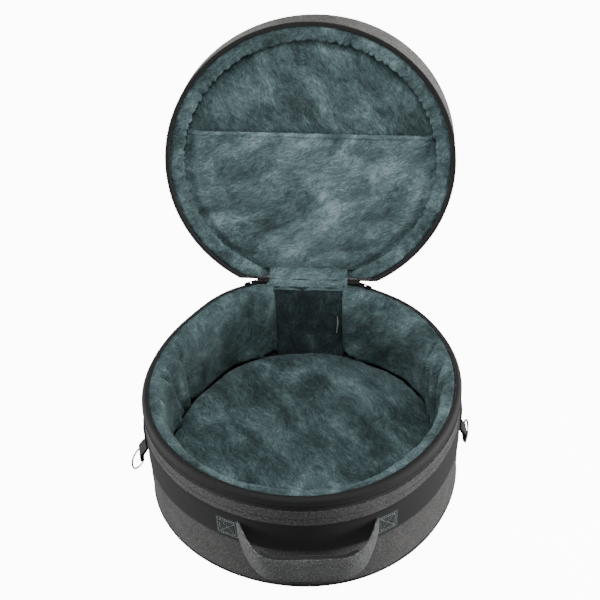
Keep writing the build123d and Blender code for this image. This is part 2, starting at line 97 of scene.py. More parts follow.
BACK_FLAT = 20 * MM         # depth of the hinge flat
BACK_Y = TUB_R - BACK_FLAT
FLAT_HALF = math.acos(BACK_Y / TUB_R)
CANVAS_T = 2.5 * MM
PAD_R = 259 * MM            # face of the wall padding at mid height
PAD_GAP_HALF = 66 * MM      # half the gap in the padding at the hinge
LID_R = 280 * MM
LID_FLAT_Y = 246 * MM       # back edge of the shut lid
LID_FACE_Z = 243.5 * MM     # lid sizes are those of the shut lid
LID_DEPTH = 51 * MM
LID_TOP_Z = LID_FACE_Z + LID_DEPTH
LINING_Z = 264 * MM
POCKET_Z = 254 * MM
ROLL_R_IN = 246 * MM
ROLL_R_OUT = 276.3 * MM
ROLL_GAP_HALF = 78 * MM
POCKET_R = 251 * MM
POCKET_BACK_Y = 232 * MM
MOUTH_Y = -61 * MM          # pocket mouth, at the middle
MOUTH_SLOPE = 0.002         # the mouth runs a little aslant
HEM_W = 10 * MM
LINING_R = 262 * MM         # lid lining, to the middle of the roll
PAD_BACK_Y = 268 * MM       # the padding stays in front of the hinge flat
WALL_FOAM_R = 288.2 * MM    # face of the firm foam behind the padding
BACK_SEAM_X = -49 * MM      # upright seam in the plush at the hinge
CREASE_LINE_Y = 268.5 * MM  # where the hinge lining is sewn to the back panel
HINGE_HALF = PAD_GAP_HALF + 13 * MM
FLAT_HALF_W = math.sqrt(TUB_R ** 2 - BACK_Y ** 2) - 3 * MM
LID_CHAIN_R = LID_R + 2.9 * MM
LID_CHAIN_Z = LID_FACE_Z + 1.6 * MM

# how the soft tub stands out of round: all round, then (waves round it, cosine, sine)
BULGE_ALL = 0.6 * MM
BULGES = [(2, -2.4 * MM, 6.4 * MM), (3, -1.1 * MM, -2.5 * MM), (4, 1.0 * MM, 1.5 * MM)]
BASE_IN = 2.2 * MM
BASE_SHIFT = (7.2 * MM, 2.2 * MM)


# ---- small modelling helpers ----

def clear_selection():
    if bpy.context.object and bpy.context.object.mode == "EDIT":
        bpy.ops.object.mode_set(mode="OBJECT")
    bpy.ops.object.select_all(action="DESELECT")


def pick(piece):
    clear_selection()
    piece.select_set(True)
    bpy.context.view_layer.objects.active = piece


def edit(piece):
    pick(piece)
    bpy.ops.object.mode_set(mode="EDIT")
    bpy.ops.mesh.select_all(action="SELECT")


def done():
    bpy.ops.object.mode_set(mode="OBJECT")


def settle(piece):
    """Put the place of a piece in its mesh, with the object at the origin."""
    pick(piece)
    bpy.ops.object.transform_apply(location=True, rotation=True, scale=True)
    return piece


def tidy(piece, reach=0.02 * MM):
    """Merge what lies together and turn every face outwards."""
    edit(piece)
    bpy.ops.mesh.remove_doubles(threshold=reach)
    bpy.ops.mesh.normals_make_consistent(inside=False)
    done()
    return piece


def finish_with(piece, kind, **settings):
    """Apply one modifier."""
    pick(piece)
    modifier = piece.modifiers.new(kind.lower(), kind)
    for key, value in settings.items():
        setattr(modifier, key, value)
    bpy.ops.object.modifier_apply(modifier=modifier.name)
    return piece


def thicken(piece, thickness, side=-1):
    return finish_with(piece, "SOLIDIFY", thickness=thickness, offset=side, use_even_offset=False)


def smooth(piece):
    pick(piece)
    bpy.ops.object.shade_smooth()
    return piece


def smooth_by_angle(piece, degrees=40):
    pick(piece)
    bpy.ops.object.shade_smooth_by_angle(angle=math.radians(degrees))
    return piece


def upper_side(piece):
    """Side for a wall that grows upwards from a panel, read from all its faces."""
    return 1 if sum(face.normal.z * face.area for face in piece.data.polygons) > 0 else -1


def outward_side(piece):
    """Side for a wall that grows away from the middle of the case."""
    face = max(piece.data.polygons, key=lambda f: abs(f.normal.x) + abs(f.normal.y))
    out = Vector((face.center.x, face.center.y, 0)).normalized()
    return 1 if face.normal.dot(out) > 0 else -1


def shape(piece, move):
    """Move every vertex by a rule from place to place."""
    for vertex in piece.data.vertices:
        vertex.co = move(vertex.co.copy())
    piece.data.update()
    return piece


def smooth_line(points, count):
    """Evenly counted points on a smooth line through the given ones."""
    ends = [2 * Vector(points[0]) - Vector(points[1])]
    line = ends + [Vector(p) for p in points] + [2 * Vector(points[-1]) - Vector(points[-2])]
    spans = len(points) - 1
    made = []
    for i in range(count):
        at = min(i * spans / (count - 1), spans - 1e-9)
        k = int(at)
        t = at - k
        a, b, c, d = line[k:k + 4]
        made.append(0.5 * (2 * b + (c - a) * t + (2 * a - 5 * b + 4 * c - d) * t * t
                           + (3 * b - a - 3 * c + d) * t ** 3))
    return made


def line_length(points):
    return sum((b - a).length for a, b in zip(points, points[1:]))


def on_line(points, share):
    """A place on a line of even points, at a share of it from 0 to 1."""
    spans = len(points) - 1
    at = share * spans
    k = min(int(at), spans - 1)
    return points[k].lerp(points[k + 1], at - k)


def seam_line(name, points):
    """A chain of edges through points, drawn by extruding one corner."""
    clear_selection()
    bpy.ops.mesh.primitive_plane_add(size=MM, location=points[0])
    piece = bpy.context.object
    piece.name = name
    edit(piece)
    bpy.ops.mesh.merge(type="CENTER")
    for a, b in zip(points, points[1:]):
        step = tuple(Vector(b) - Vector(a))
        bpy.ops.mesh.extrude_vertices_move(TRANSFORM_OT_translate={"value": step})
    done()
    return settle(piece)


def spun(name, outline, start, sweep, steps):
    """Spin a radius / height outline round the case, between two angles in radians."""
    points = [(r * math.cos(start), r * math.sin(start), z) for r, z in outline]
    piece = seam_line(name, points)
    edit(piece)
    bpy.ops.mesh.spin(steps=steps, angle=sweep, center=(0, 0, 0), axis=(0, 0, -1))
    done()
    return tidy(piece)


def close_ends(piece):
    edit(piece)
    bpy.ops.mesh.select_all(action="DESELECT")
    bpy.ops.mesh.select_mode(type="EDGE")
    bpy.ops.mesh.select_non_manifold(extend=False)
    bpy.ops.mesh.fill()
    bpy.ops.mesh.select_mode(type="VERT")
    done()
    return tidy(piece)


def cloth_grid(name, columns, rows):
    """A square of cloth from -1 to 1 both ways, ready to be shaped."""
    clear_selection()
    bpy.ops.mesh.primitive_grid_add(x_subdivisions=columns, y_subdivisions=rows, size=2)
    piece = bpy.context.object
    piece.name = name
    return piece


def lay_uv(piece, length, width):
    """Cloth coordinates in metres for a cloth grid that is still flat."""
    layer = piece.data.uv_layers.active or piece.data.uv_layers.new(name="cloth")
    for loop in piece.data.loops:
        place = piece.data.vertices[loop.vertex_index].co
        layer.data[loop.index].uv = ((place.x + 1) / 2 * length, (place.y + 1) / 2 * width)
    return piece


def round_uv(piece, radius):
    """Cloth coordinates in metres for a panel that goes round the case."""
    layer = piece.data.uv_layers.active or piece.data.uv_layers.new(name="cloth")
    for face in piece.data.polygons:
        middle = math.atan2(face.center.y, face.center.x)
        for index in face.loop_indices:
            place = piece.data.vertices[piece.data.loops[index].vertex_index].co
            angle = math.atan2(place.y, place.x)
            while angle - middle > math.pi:
                angle -= 2 * math.pi
            while angle - middle < -math.pi:
                angle += 2 * math.pi
            layer.data[index].uv = (angle * radius, place.z)
    return piece


def turned_back(place):
    """A place as seen from the hinge frame, whose +Y runs to the hinge."""
    return Matrix.Rotation(-TURN, 3, "Z") @ place


def turned(place):
    return Matrix.Rotation(TURN, 3, "Z") @ place


def flatten_back(piece):
    """Cut the round outline back to the straight hinge side."""
    def move(place):
        own = turned_back(place)
        own.y = min(own.y, own.xy.length - BACK_FLAT)
        return turned(own)
    return shape(piece, move)


def hold_in_front(piece, limit):
    """Press what would pass a line across the hinge side back to it."""
    def move(place):
        own = turned_back(place)
        own.y = min(own.y, limit)
        return turned(own)
    return shape(piece, move)


def out_of_round(place):
    """The soft tub stands a little out of round, and its rim leans over its base."""
    angle = math.atan2(place.y, place.x)
    off_hinge = ease(math.radians(27), math.radians(51), abs(wrap(angle - math.pi / 2)))
    bulge = BULGE_ALL + sum(by_cos * math.cos(waves * angle) + by_sin * math.sin(waves * angle)
                            for waves, by_cos, by_sin in BULGES)
    low = 1 - max(0.0, min(1.0, place.z / RIM_Z))
    grow = (bulge * off_hinge - BASE_IN * low) / TUB_R
    return Vector((place.x * (1 + grow) + BASE_SHIFT[0] * low,
                   place.y * (1 + grow) + BASE_SHIFT[1] * low, place.z))


OPEN_MATRIX = (Matrix.Translation(HINGE_AT) @ Matrix.Rotation(-LID_OPEN, 4, HINGE_LINE)
               @ Matrix.Translation(-HINGE_AT) @ Matrix.Rotation(TURN, 4, "Z"))


def fold_open(piece):
    """Lid pieces are made shut, then folded open about the hinge."""
    piece.data.transform(OPEN_MATRIX)
    piece.data.update()
    return piece


def folded_open(y, z):
    """Where a point of the shut lid lies in the open case, before turning."""
    place = Matrix.Rotation(-LID_OPEN, 3, "X") @ Vector((0, y - HINGE_Y, z - HINGE_Z))
    return (place.y + HINGE_Y, place.z + HINGE_Z)


def ease(low, high, value):
    t = max(0.0, min(1.0, (value - low) / (high - low)))
    return t * t * (3 - 2 * t)


def bump(distance, width):
    return math.exp(-(distance / width) ** 2)


def wrap(angle):
    return (angle + math.pi) % (2 * math.pi) - math.pi


def copies(name, source, places):
    """Copies of a mesh, each with its own mesh, put where each matrix says."""
    made = []
    for place in places:
        copy = bpy.data.objects.new(name, source.copy())
        bpy.context.scene.collection.objects.link(copy)
        copy.data.transform(place)
        made.append(copy)
    return made


def join(name, pieces):
    pick(pieces[0])
    for piece in pieces:
        piece.select_set(True)
    bpy.ops.object.join()
    pieces[0].name = name
    return pieces[0]


# ---- materials ----

def srgb(code):
    """sRGB hex to the linear colour that shaders read."""
    values = [int(code[i:i + 2], 16) / 255 for i in (1, 3, 5)]
    linear = [v / 12.92 if v <= 0.04045 else ((v + 0.055) / 1.055) ** 2.4 for v in values]
    return (*linear, 1.0)


def add(tree, kind, inputs=None, stops=(), **settings):
    """Add one node with its settings, links and, on a colour ramp, its stops."""
    made = tree.nodes.new(kind)
    for key, value in settings.items():
        setattr(made, key, value)
    for key, value in (inputs or {}).items():
        if isinstance(value, bpy.types.NodeSocket):
            tree.links.new(value, made.inputs[key])
        else:
            made.inputs[key].default_value = value
    if stops:
        elements = made.color_ramp.elements
        while len(elements) < len(stops):
            elements.new(0.5)
        for element, (place, code) in zip(elements, stops):
            element.position = place
            element.color = srgb(code)
    return made


def new_finish(name, roughness, **surface):
    """A material with its surface node; constant values sit on the node's own sockets."""
    finish = bpy.data.materials.new(name)
    finish.use_nodes = True
    tree = finish.node_tree
    shader = tree.nodes["Principled BSDF"]
    shader.inputs["Roughness"].default_value = roughness
    for key, value in surface.items():
        shader.inputs[key.replace("_", " ")].default_value = value
    return finish, tree, shader


def weighted(tree, parts):
    """Sum of sockets, each times its share."""
    total = None
    for socket, share in parts:
        term = add(tree, "ShaderNodeMath", {0: socket, 1: share}, operation="MULTIPLY").outputs[0]
        if total is None:
            total = term
        else:
            total = add(tree, "ShaderNodeMath", {0: total, 1: term}, operation="ADD").outputs[0]
    return total


def put_on(tree, shader, colour, relief):
    """Link the finished colour and relief to the surface."""
    tree.links.new(colour.outputs["Color"], shader.inputs["Base Color"])
    tree.links.new(relief.outputs["Normal"], shader.inputs["Normal"])


def crushed_plush(name, lay, lift=0.0):
    """Polyester plush, long pile, crushed: brushed tufts over darker pile, in short strokes; the pale
    streaks and patches are partly the pile's own tone and partly painted sheen highlights.

    lay turns the pile's stroke direction; lift makes the whole cloth a little paler, and a negative lift
    darker, which on the back panel is painted shade.
    """
    finish, tree, shader = new_finish(
        name, 0.85, Sheen_Weight=0.25, Sheen_Roughness=0.5,
        Sheen_Tint=srgb("#9aaaab"), Specular_IOR_Level=0.2)
    where = add(tree, "ShaderNodeTexCoord").outputs["Object"]
    swirl = add(tree, "ShaderNodeTexNoise", {"Vector": where, "Scale": 1 / (85 * MM), "Detail": 2.5})
    swept = add(tree, "ShaderNodeVectorMath", {
        0: swirl.outputs["Color"], 1: (0.05,) * 3, 2: where}, operation="MULTIPLY_ADD").outputs[0]
    combed, brushed = [
        add(tree, "ShaderNodeMapping", {"Vector": swept, "Rotation": lay, "Scale": (1.0, 1.0, stroke)},
            vector_type="TEXTURE").outputs[0] for stroke in (4.2, 2.0)]
    hairs, strokes, tufts, patches = [
        add(tree, "ShaderNodeTexNoise", {
            "Vector": mapped, "Scale": 1 / size, "Detail": detail, "Roughness": rough,
            "Distortion": warp}).outputs["Fac"]
        for mapped, size, detail, rough, warp in (
            (combed, 1.5 * MM, 2.0, 0.6, 0.0), (combed, 3.6 * MM, 3.0, 0.62, 0.0),
            (brushed, 15 * MM, 4.0, 0.62, 0.3), (brushed, 55 * MM, 3.0, 0.5, 0.5))]
    shade = weighted(tree, [(hairs, 0.26), (strokes, 0.26), (tufts, 0.24), (patches, 0.42)])
    lifted = add(tree, "ShaderNodeMath", {0: shade, 1: lift - 0.09}, operation="ADD").outputs[0]
    # the pale stops of this ramp are partly the plush's own tone and partly painted sheen highlights on the
    # crushed pile
    colour = add(tree, "ShaderNodeValToRGB", {"Fac": lifted}, stops=[
        (0.32, "#1a2526"), (0.42, "#2c3a3c"), (0.5, "#425456"),
        (0.58, "#5b6f71"), (0.70, "#8b9ea2")])
    pile = weighted(tree, [(hairs, 0.35), (strokes, 0.8), (tufts, 0.9)])
    relief = add(tree, "ShaderNodeBump", {"Height": pile, "Strength": 0.9, "Distance": 3.0 * MM})
    put_on(tree, shader, colour, relief)
    return finish


def melange_canvas(name, dark, mid, light, fleck=2.2 * MM):
    """Woven polyester of mixed grey yarns: fine flecks along and across the threads."""
    finish, tree, shader = new_finish(name, 0.88, Sheen_Weight=0.12, Specular_IOR_Level=0.3)
    cloth = add(tree, "ShaderNodeUVMap", uv_map="").outputs["UV"]
    weft, warp = [
        add(tree, "ShaderNodeTexNoise", {
            "Vector": add(tree, "ShaderNodeMapping", {"Vector": cloth, "Scale": stretch}).outputs[0],
            "Scale": 1 / fleck, "Detail": 3.0, "Roughness": 0.65}).outputs["Fac"]
        for stretch in ((0.35, 1.0, 1.0), (1.0, 0.35, 1.0))]
    cast = add(tree, "ShaderNodeTexNoise", {"Vector": cloth, "Scale": 1 / (40 * MM)}).outputs["Fac"]
    shade = weighted(tree, [(weft, 0.45), (warp, 0.45), (cast, 0.1)])
    colour = add(tree, "ShaderNodeValToRGB", {"Fac": shade},
                 stops=[(0.36, dark), (0.5, mid), (0.64, light)])
    # threads of about 1 mm, the coarsest of the real weave
    picks, ends = [
        add(tree, "ShaderNodeTexWave", {"Vector": cloth, "Scale": 0.32 / MM, "Distortion": 0.6},
            bands_direction=direction).outputs["Fac"] for direction in ("Y", "X")]
    weave = weighted(tree, [(picks, 0.5), (ends, 0.5), (weft, 0.6)])
    relief = add(tree, "ShaderNodeBump", {"Height": weave, "Strength": 0.5, "Distance": 0.5 * MM})
    put_on(tree, shader, colour, relief)
    return finish


def coated_black(name, code, worn, roughness):
    """Black fabric with a smooth coating: even and dull, with faint grey rubbing."""
    finish, tree, shader = new_finish(name, roughness, Specular_IOR_Level=0.35, Sheen_Weight=0.08)
    where = add(tree, "ShaderNodeTexCoord").outputs["Object"]
    rub = add(tree, "ShaderNodeTexNoise", {
        "Vector": where, "Scale": 1 / (38 * MM), "Detail": 4.0, "Roughness": 0.65}).outputs["Fac"]
    fine = add(tree, "ShaderNodeTexNoise", {"Vector": where, "Scale": 1 / (1.6 * MM)}).outputs["Fac"]
    shade = weighted(tree, [(rub, 0.7), (fine, 0.3)])
    colour = add(tree, "ShaderNodeValToRGB", {"Fac": shade}, stops=[(0.35, code), (0.7, worn)])
    relief = add(tree, "ShaderNodeBump", {"Height": fine, "Strength": 0.35, "Distance": 0.3 * MM})
    put_on(tree, shader, colour, relief)
    return finish


def ribbed_webbing(name, dark, light, rib=1.6 * MM):
    """Woven narrow webbing: ribs across its length that catch the light."""
    finish, tree, shader = new_finish(name, 0.8, Sheen_Weight=0.15, Specular_IOR_Level=0.35)
    cloth = add(tree, "ShaderNodeUVMap", uv_map="").outputs["UV"]
    ribs = add(tree, "ShaderNodeTexWave", {"Vector": cloth, "Scale": 0.314 / rib, "Distortion": 0.8,
               "Detail": 1.0}, bands_direction="X").outputs["Fac"]
    yarn = add(tree, "ShaderNodeTexNoise", {
        "Vector": cloth, "Scale": 1 / (1.3 * MM), "Detail": 3.0, "Roughness": 0.7}).outputs["Fac"]
    shade = weighted(tree, [(ribs, 0.35), (yarn, 0.65)])
    colour = add(tree, "ShaderNodeValToRGB", {"Fac": shade}, stops=[(0.3, dark), (0.68, light)])
    weave = weighted(tree, [(ribs, 0.7), (yarn, 0.4)])
    relief = add(tree, "ShaderNodeBump", {"Height": weave, "Strength": 0.55, "Distance": 0.6 * MM})
    put_on(tree, shader, colour, relief)
    return finish


def spacer_mesh(name):
    """Knitted spacer mesh: round holes in staggered rows, painted near black inside as painted shade."""
    finish, tree, shader = new_finish(name, 0.7, Sheen_Weight=0.1, Specular_IOR_Level=0.4)
    where = add(tree, "ShaderNodeTexCoord").outputs["Object"]
    cells = add(tree, "ShaderNodeTexVoronoi", {"Vector": where, "Scale": 1 / (3.0 * MM),
                "Randomness": 0.3}, feature="F1").outputs["Distance"]
    # the near-black colour in the middle of each cell is painted shade inside the mesh's holes
    colour = add(tree, "ShaderNodeValToRGB", {"Fac": cells}, stops=[(0.24, "#030303"), (0.5, "#1c1d1f")])
    relief = add(tree, "ShaderNodeBump", {"Height": cells, "Strength": 0.9, "Distance": 1.2 * MM})
    put_on(tree, shader, colour, relief)
    return finish


def plated_wire(name):
    """Nickel-plated steel wire: bright, with a few dull spots."""
    finish, tree, shader = new_finish(name, 0.18, Metallic=1.0)
    where = add(tree, "ShaderNodeTexCoord").outputs["Object"]
    spots = add(tree, "ShaderNodeTexNoise", {
        "Vector": where, "Scale": 1 / (4 * MM), "Detail": 3.0}).outputs["Fac"]
    colour = add(tree, "ShaderNodeValToRGB", {"Fac": spots}, stops=[(0.3, "#a9a8a4"), (0.6, "#d3d2cd")])
    tree.links.new(colour.outputs["Color"], shader.inputs["Base Color"])
    rough = add(tree, "ShaderNodeMapRange", {"Value": spots, "To Min": 0.12, "To Max": 0.3})
    tree.links.new(rough.outputs["Result"], shader.inputs["Roughness"])
    return finish


def plain_grain(name, dark, light, size, roughness, lift=0.3 * MM, **surface):
    """Quiet moulded or knitted finish: two near tones and a fine grain."""
    finish, tree, shader = new_finish(name, roughness, **surface)
    where = add(tree, "ShaderNodeTexCoord").outputs["Object"]
    speckle = add(tree, "ShaderNodeTexNoise", {
        "Vector": where, "Scale": 1 / size, "Detail": 3.0}).outputs["Fac"]
    colour = add(tree, "ShaderNodeValToRGB", {"Fac": speckle}, stops=[(0.35, dark), (0.65, light)])
    relief = add(tree, "ShaderNodeBump", {"Height": speckle, "Strength": 0.4, "Distance": lift})
    put_on(tree, shader, colour, relief)
    return finish


PLUSH_WALL = crushed_plush("plush_wall", (0.5, 0.6, 0.0))
PLUSH_FLOOR = crushed_plush("plush_floor", (math.radians(85), 0.0, 0.55), 0.0)
PLUSH_LID = crushed_plush("plush_lid", (math.radians(-12), math.radians(-35), 0.0), 0.0)
PLUSH_POCKET = crushed_plush("plush_pocket", (math.radians(-12), math.radians(68), 0.0), 0.035)
# the back panel's plush is darkened by its negative lift: painted shade for the recess between the
# padding's ends
PLUSH_BACK_PAINTED_SHADE = crushed_plush("plush_back_painted_shade", (0.3, 0.1, 0.0), -0.09)
PLUSH_ROLL = crushed_plush("plush_roll", (0.3, 0.9, 0.0), -0.01)
CANVAS = melange_canvas("grey_melange_canvas", "#222222", "#434241", "#73716f")
CANVAS_LID = melange_canvas("lid_melange_canvas", "#343332", "#605e5c", "#92908d")
STRAP_CLOTH = melange_canvas("strap_melange", "#262727", "#4f5050", "#868686", 1.8 * MM)
BAND_BLACK = coated_black("coated_black_band", "#080808", "#101010", 0.7)
TAPE_BLACK = coated_black("woven_zip_tape", "#080808", "#141415", 0.72)
WEBBING = ribbed_webbing("black_webbing", "#08080a", "#222224")
PATCH_WEB = ribbed_webbing("patch_webbing", "#0f1313", "#262c2c")
MESH_BLACK = spacer_mesh("black_spacer_mesh")
COIL = plain_grain("nylon_coil", "#0a0a0a", "#1a1a1a", 2 * MM, 0.38)
THREAD = plain_grain("polyester_thread", "#7c8887", "#aab5b4", 1 * MM, 0.6)
THREAD_DARK = plain_grain("dark_thread", "#141414", "#2c2c2c", 1 * MM, 0.6)
THREAD_TEAL = plain_grain("plush_seam_thread", "#1c2a2e", "#33464b", 1 * MM, 0.7)
WIRE = plated_wire("nickel_plated_wire")
GUNMETAL = plain_grain("gunmetal_finish", "#2e2e30", "#4a4a4c", 3 * MM, 0.35, 0.05 * MM, Metallic=0.9)
SATIN = plain_grain("satin_label", "#d9d8d2", "#f1f0ea", 1.5 * MM, 0.45, 0.1 * MM)


def dress(piece, finish, body, nodes=()):
    """Give a piece its material, slot and body, and the CAD nodes that it stands for."""
    piece.data.materials.clear()
    piece.data.materials.append(finish)
    if body != "lid" and not piece.name.startswith("ring_tab"):
        shape(piece, out_of_round)
    if body:
        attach(piece, body)
    if nodes:
        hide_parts(*nodes)
    return piece


# ---- stitches ----

def stitch(name, radius, length):
    """One lying stitch: a short round thread with sunk ends."""
    clear_selection()
    bpy.ops.mesh.primitive_cylinder_add(vertices=6, radius=radius, depth=length,
                                        rotation=(0, math.radians(90), 0))
    piece = bpy.context.object
    piece.name = name
    edit(piece)
    bpy.ops.mesh.bevel(offset=radius * 0.8, segments=1, affect="EDGES")
    done()
    return settle(piece)


def sew(name, places, radius=0.45 * MM, length=3.2 * MM):
    """Stitches along a list of (place, direction): one is modelled, the others are its copies."""
    first = stitch(name, radius, length)
    source = first.data.copy()
    spots = [Matrix.Translation(place) @ Vector(direction).to_track_quat("X", "Z").to_matrix().to_4x4()
             for place, direction in places]
    first.data.transform(spots[0])
    return smooth(join(name, [first] + copies(name, source, spots[1:])))


def round_row(radius, height, pitch, gap=0.0, flat=True):
    """Places for stitches round the case at one radius and height."""
    count = int((2 * math.pi - 2 * gap) * radius / pitch)
    places = []
    for i in range(count + 1):
        angle = math.pi / 2 + gap + i * (2 * math.pi - 2 * gap) / max(count, 1)
        place = Vector((radius * math.cos(angle), radius * math.sin(angle), height))
        if flat and place.y > place.xy.length - BACK_FLAT:
            continue
        places.append((turned(place), turned(Vector((-math.sin(angle), math.cos(angle), 0)))))
    return places


def straight_row(start, end, pitch):
    start, end = Vector(start), Vector(end)
    count = max(1, int((end - start).length / pitch))
    return [(start.lerp(end, (i + 0.5) / count), end - start) for i in range(count)]


# ---- tub: canvas, band, piping, rim ----

def uneven(place, size, depth, seed=0.0):
    """Slow in-and-out of soft cloth at a place."""
    return noise.fractal(place / size + Vector((seed, seed * 1.7, -seed)), 0.8, 2.0, 3) * depth


def wall_panel(name, outline, finish, nodes, depth=0.7 * MM):
    """Panel once round the tub, with the slow waves of soft cloth over foam."""
    piece = spun(name, outline, TURN + math.pi / 2, 2 * math.pi, 240)
    round_uv(piece, TUB_R)

    def move(place):
        out = Vector((place.x, place.y, 0)).normalized()
        return place + out * uneven(place, 90 * MM, depth, 1.0)

    shape(piece, move)
    flatten_back(piece)
    thicken(piece, CANVAS_T, -outward_side(piece))
    smooth_by_angle(piece, 50)
    dress(piece, finish, "tub", nodes)
    return piece


def upright(radius, low, high, count):
    return [(radius, low + (high - low) * i / (count - 1)) for i in range(count)]


def tub_outside():
    lower = [(TUB_R - 1.2 * MM, PIPE_H - 1.5 * MM)] + upright(TUB_R, PIPE_H + 1 * MM, BAND_LOW + 1 * MM, 14)
    wall_panel("tub_lower_canvas", lower, CANVAS, ["lower_canvas_wall", "wall_foam"])
    fold = 1.0 * MM
    band = ([(BAND_R - 1.6 * MM, BAND_LOW + fold), (BAND_R - 0.2 * MM, BAND_LOW - 0.2 * MM)]
            + upright(BAND_R + 0.6 * MM, BAND_LOW + 1.2 * MM, BAND_TOP - 1.2 * MM, 10)
            + [(BAND_R - 0.2 * MM, BAND_TOP + 0.2 * MM), (BAND_R - 1.6 * MM, BAND_TOP - fold)])
    wall_panel("tub_black_band", band, BAND_BLACK, ["middle_band"], 0.5 * MM)
    strip = upright(TUB_R, BAND_TOP - 1 * MM, STRIP_TOP + 1 * MM, 7)
    wall_panel("tub_upper_strip", strip, CANVAS, ["upper_canvas_strip"], 0.6 * MM)
    seam_z = BAND_TOP + 0.46 * (STRIP_TOP - BAND_TOP)
    row = sew("strip_stitches", round_row(TUB_R + 0.4 * MM, seam_z, 5.2 * MM))
    dress(row, THREAD_DARK, "tub")


def piping():
    """Covered cord in the base seam."""
    r = PIPE_H / 2
    section = [(TUB_R - 0.6 * MM + r * math.cos(a), r + r * math.sin(a) * 0.98)
               for a in [math.radians(d) for d in range(-180, 180, 30)]]
    cord = spun("base_piping_cord", section + section[:1], TURN + math.pi / 2, 2 * math.pi, 240)
    flatten_back(cord)
    tidy(cord)
    smooth(cord)
    dress(cord, BAND_BLACK, "tub", ["base_piping"])


def base():
    """Coated panel under the case, level on the floor and sewn into the piping."""
    panel = disc("base_panel_cloth", TUB_R - 3 * MM, 2.4 * MM, 30, 160)
    flatten_back(panel)
    flat_uv(panel)
    thicken(panel, 2.2 * MM, -upper_side(panel))
    smooth_by_angle(panel)
    dress(panel, BAND_BLACK, "tub", ["base_panel"])


def rim_band():
    """Zip tape bound over the rim: smooth over the top, two raised ridges, then a sunk seam."""
    line = [
        (PAD_TOP_R - 2.6 * MM, RIM_Z - 1.6 * MM), (PAD_TOP_R, RIM_Z - 0.1 * MM),
        (TUB_R - 7.5 * MM, RIM_Z - 1.2 * MM), (TUB_R - 3.4 * MM, RIM_Z - 4.0 * MM),
        (TUB_R - 1.2 * MM, RIM_Z - 8.5 * MM), (TUB_R - 0.5 * MM, RIM_Z - 12.5 * MM),
        (TUB_R - 0.4 * MM, RIM_Z - 18.0 * MM), (TUB_R - 0.4 * MM, STRIP_TOP + 6.5 * MM),
        (TUB_R - 1.6 * MM, STRIP_TOP + 3.0 * MM), (TUB_R - 2.4 * MM, STRIP_TOP - 1.0 * MM),
    ]
    ridges = [RIM_Z - 11.0 * MM, RIM_Z - 17.5 * MM]
    outline = []
    for r, z in smooth_line(line, 44):
        lift = sum(bump(z - at, 1.1 * MM) for at in ridges) * 1.1 * MM if r > TUB_R - 4 * MM else 0
        outline.append((r + lift, z))
    sweep = 2 * math.pi - 2 * FLAT_HALF
    band = spun("rim_zip_tape", outline, TURN + math.pi / 2 + FLAT_HALF, sweep, 260)
    thicken(band, 1.6 * MM, -upper_side(band))
    smooth_by_angle(band, 60)
    dress(band, TAPE_BLACK, "tub", ["rim_tape"])
    rows = round_row(TUB_R + 0.2 * MM, RIM_Z - 14.2 * MM, 4.4 * MM, FLAT_HALF + 0.01, False)
    rows += round_row(TUB_R - 7 * MM, RIM_Z - 0.7 * MM, 4.4 * MM, FLAT_HALF + 0.01, False)
    dress(sew("rim_stitches", rows, 0.35 * MM, 2.8 * MM), THREAD_DARK, "tub")


def zip_coil(name, radius, height, gap, body, node_name, folded):
    """Moulded coil of one zip side: a turn modelled once and arrayed round the track."""
    clear_selection()
    bpy.ops.mesh.primitive_torus_add(major_segments=10, minor_segments=4, major_radius=0.9 * MM,
                                     minor_radius=0.36 * MM, rotation=(math.radians(90), 0, 0))
    turn = bpy.context.object
    settle(turn)
    pitch = 1.9 * MM
    count = int((2 * math.pi - 2 * gap) * radius / pitch)
    source = turn.data.copy()
    spots = [Matrix.Rotation(math.pi / 2 + gap + i * pitch / radius, 4, "Z")
             @ Matrix.Translation((radius, 0, height)) for i in range(count)]
    turn.data.transform(spots[0])
    coil = smooth(join(name, [turn] + copies(name, source, spots[1:])))
    coil.data.transform(OPEN_MATRIX if folded else Matrix.Rotation(TURN, 4, "Z"))
    dress(coil, COIL, body, [node_name])


# ---- padding ----

PAD_HALF_GAP = math.asin(PAD_GAP_HALF / (PAD_R + 12 * MM))
PAD_START = TURN + math.pi / 2 + PAD_HALF_GAP
PAD_SWEEP = 2 * math.pi - 2 * PAD_HALF_GAP
PAD_LOW = CUSHION_TOP - 14 * MM
# the padding from the rim down to the floor: radius and height in millimetres
PAD_LINE = [(287.0, 241.0), (280.5, 242.2), (272.5, 239.5), (266.0, 232.0), (262.0, 219.0),
            (259.5, 196.0), (258.6, 160.0), (259.0, 125.0), (259.0, 96.0), (259.6, 78.0),
            (261.4, 68.0), (266.0, 61.0), (274.0, 57.5)]

# folds in the wall padding: degrees at the rim, degrees at the floor, degrees of bend between them,
# then depth, width and the lip beside the fold in millimetres; the lip's sign is its side
FOLDS = [
    (177.5, 166.5, -2.0, 25.0, 6.0, 13.0),
    (160.5, 153.5, -1.0, 11.0, 9.0, 4.0),
    (170.5, 160.0, 1.0, 13.0, 5.0, 5.0),
    (189.0, 178.0, 2.5, 12.0, 5.0, 5.0),
    (21.5, 19.0, 2.0, 19.0, 5.5, -9.0),
    (11.0, 5.0, 1.5, 22.0, 5.5, 10.0),
    (1.0, -3.0, 0.0, 10.0, 6.0, 4.0),
    (118.0, 124.0, 0.0, 2.5, 14.0, 0.5),
    (48.0, 44.0, 0.0, 2.5, 14.0, 0.5),
    (228.0, 224.0, 0.0, 3.0, 12.0, 1.0),
    (302.0, 305.0, 0.0, 3.0, 12.0, 1.0),
]


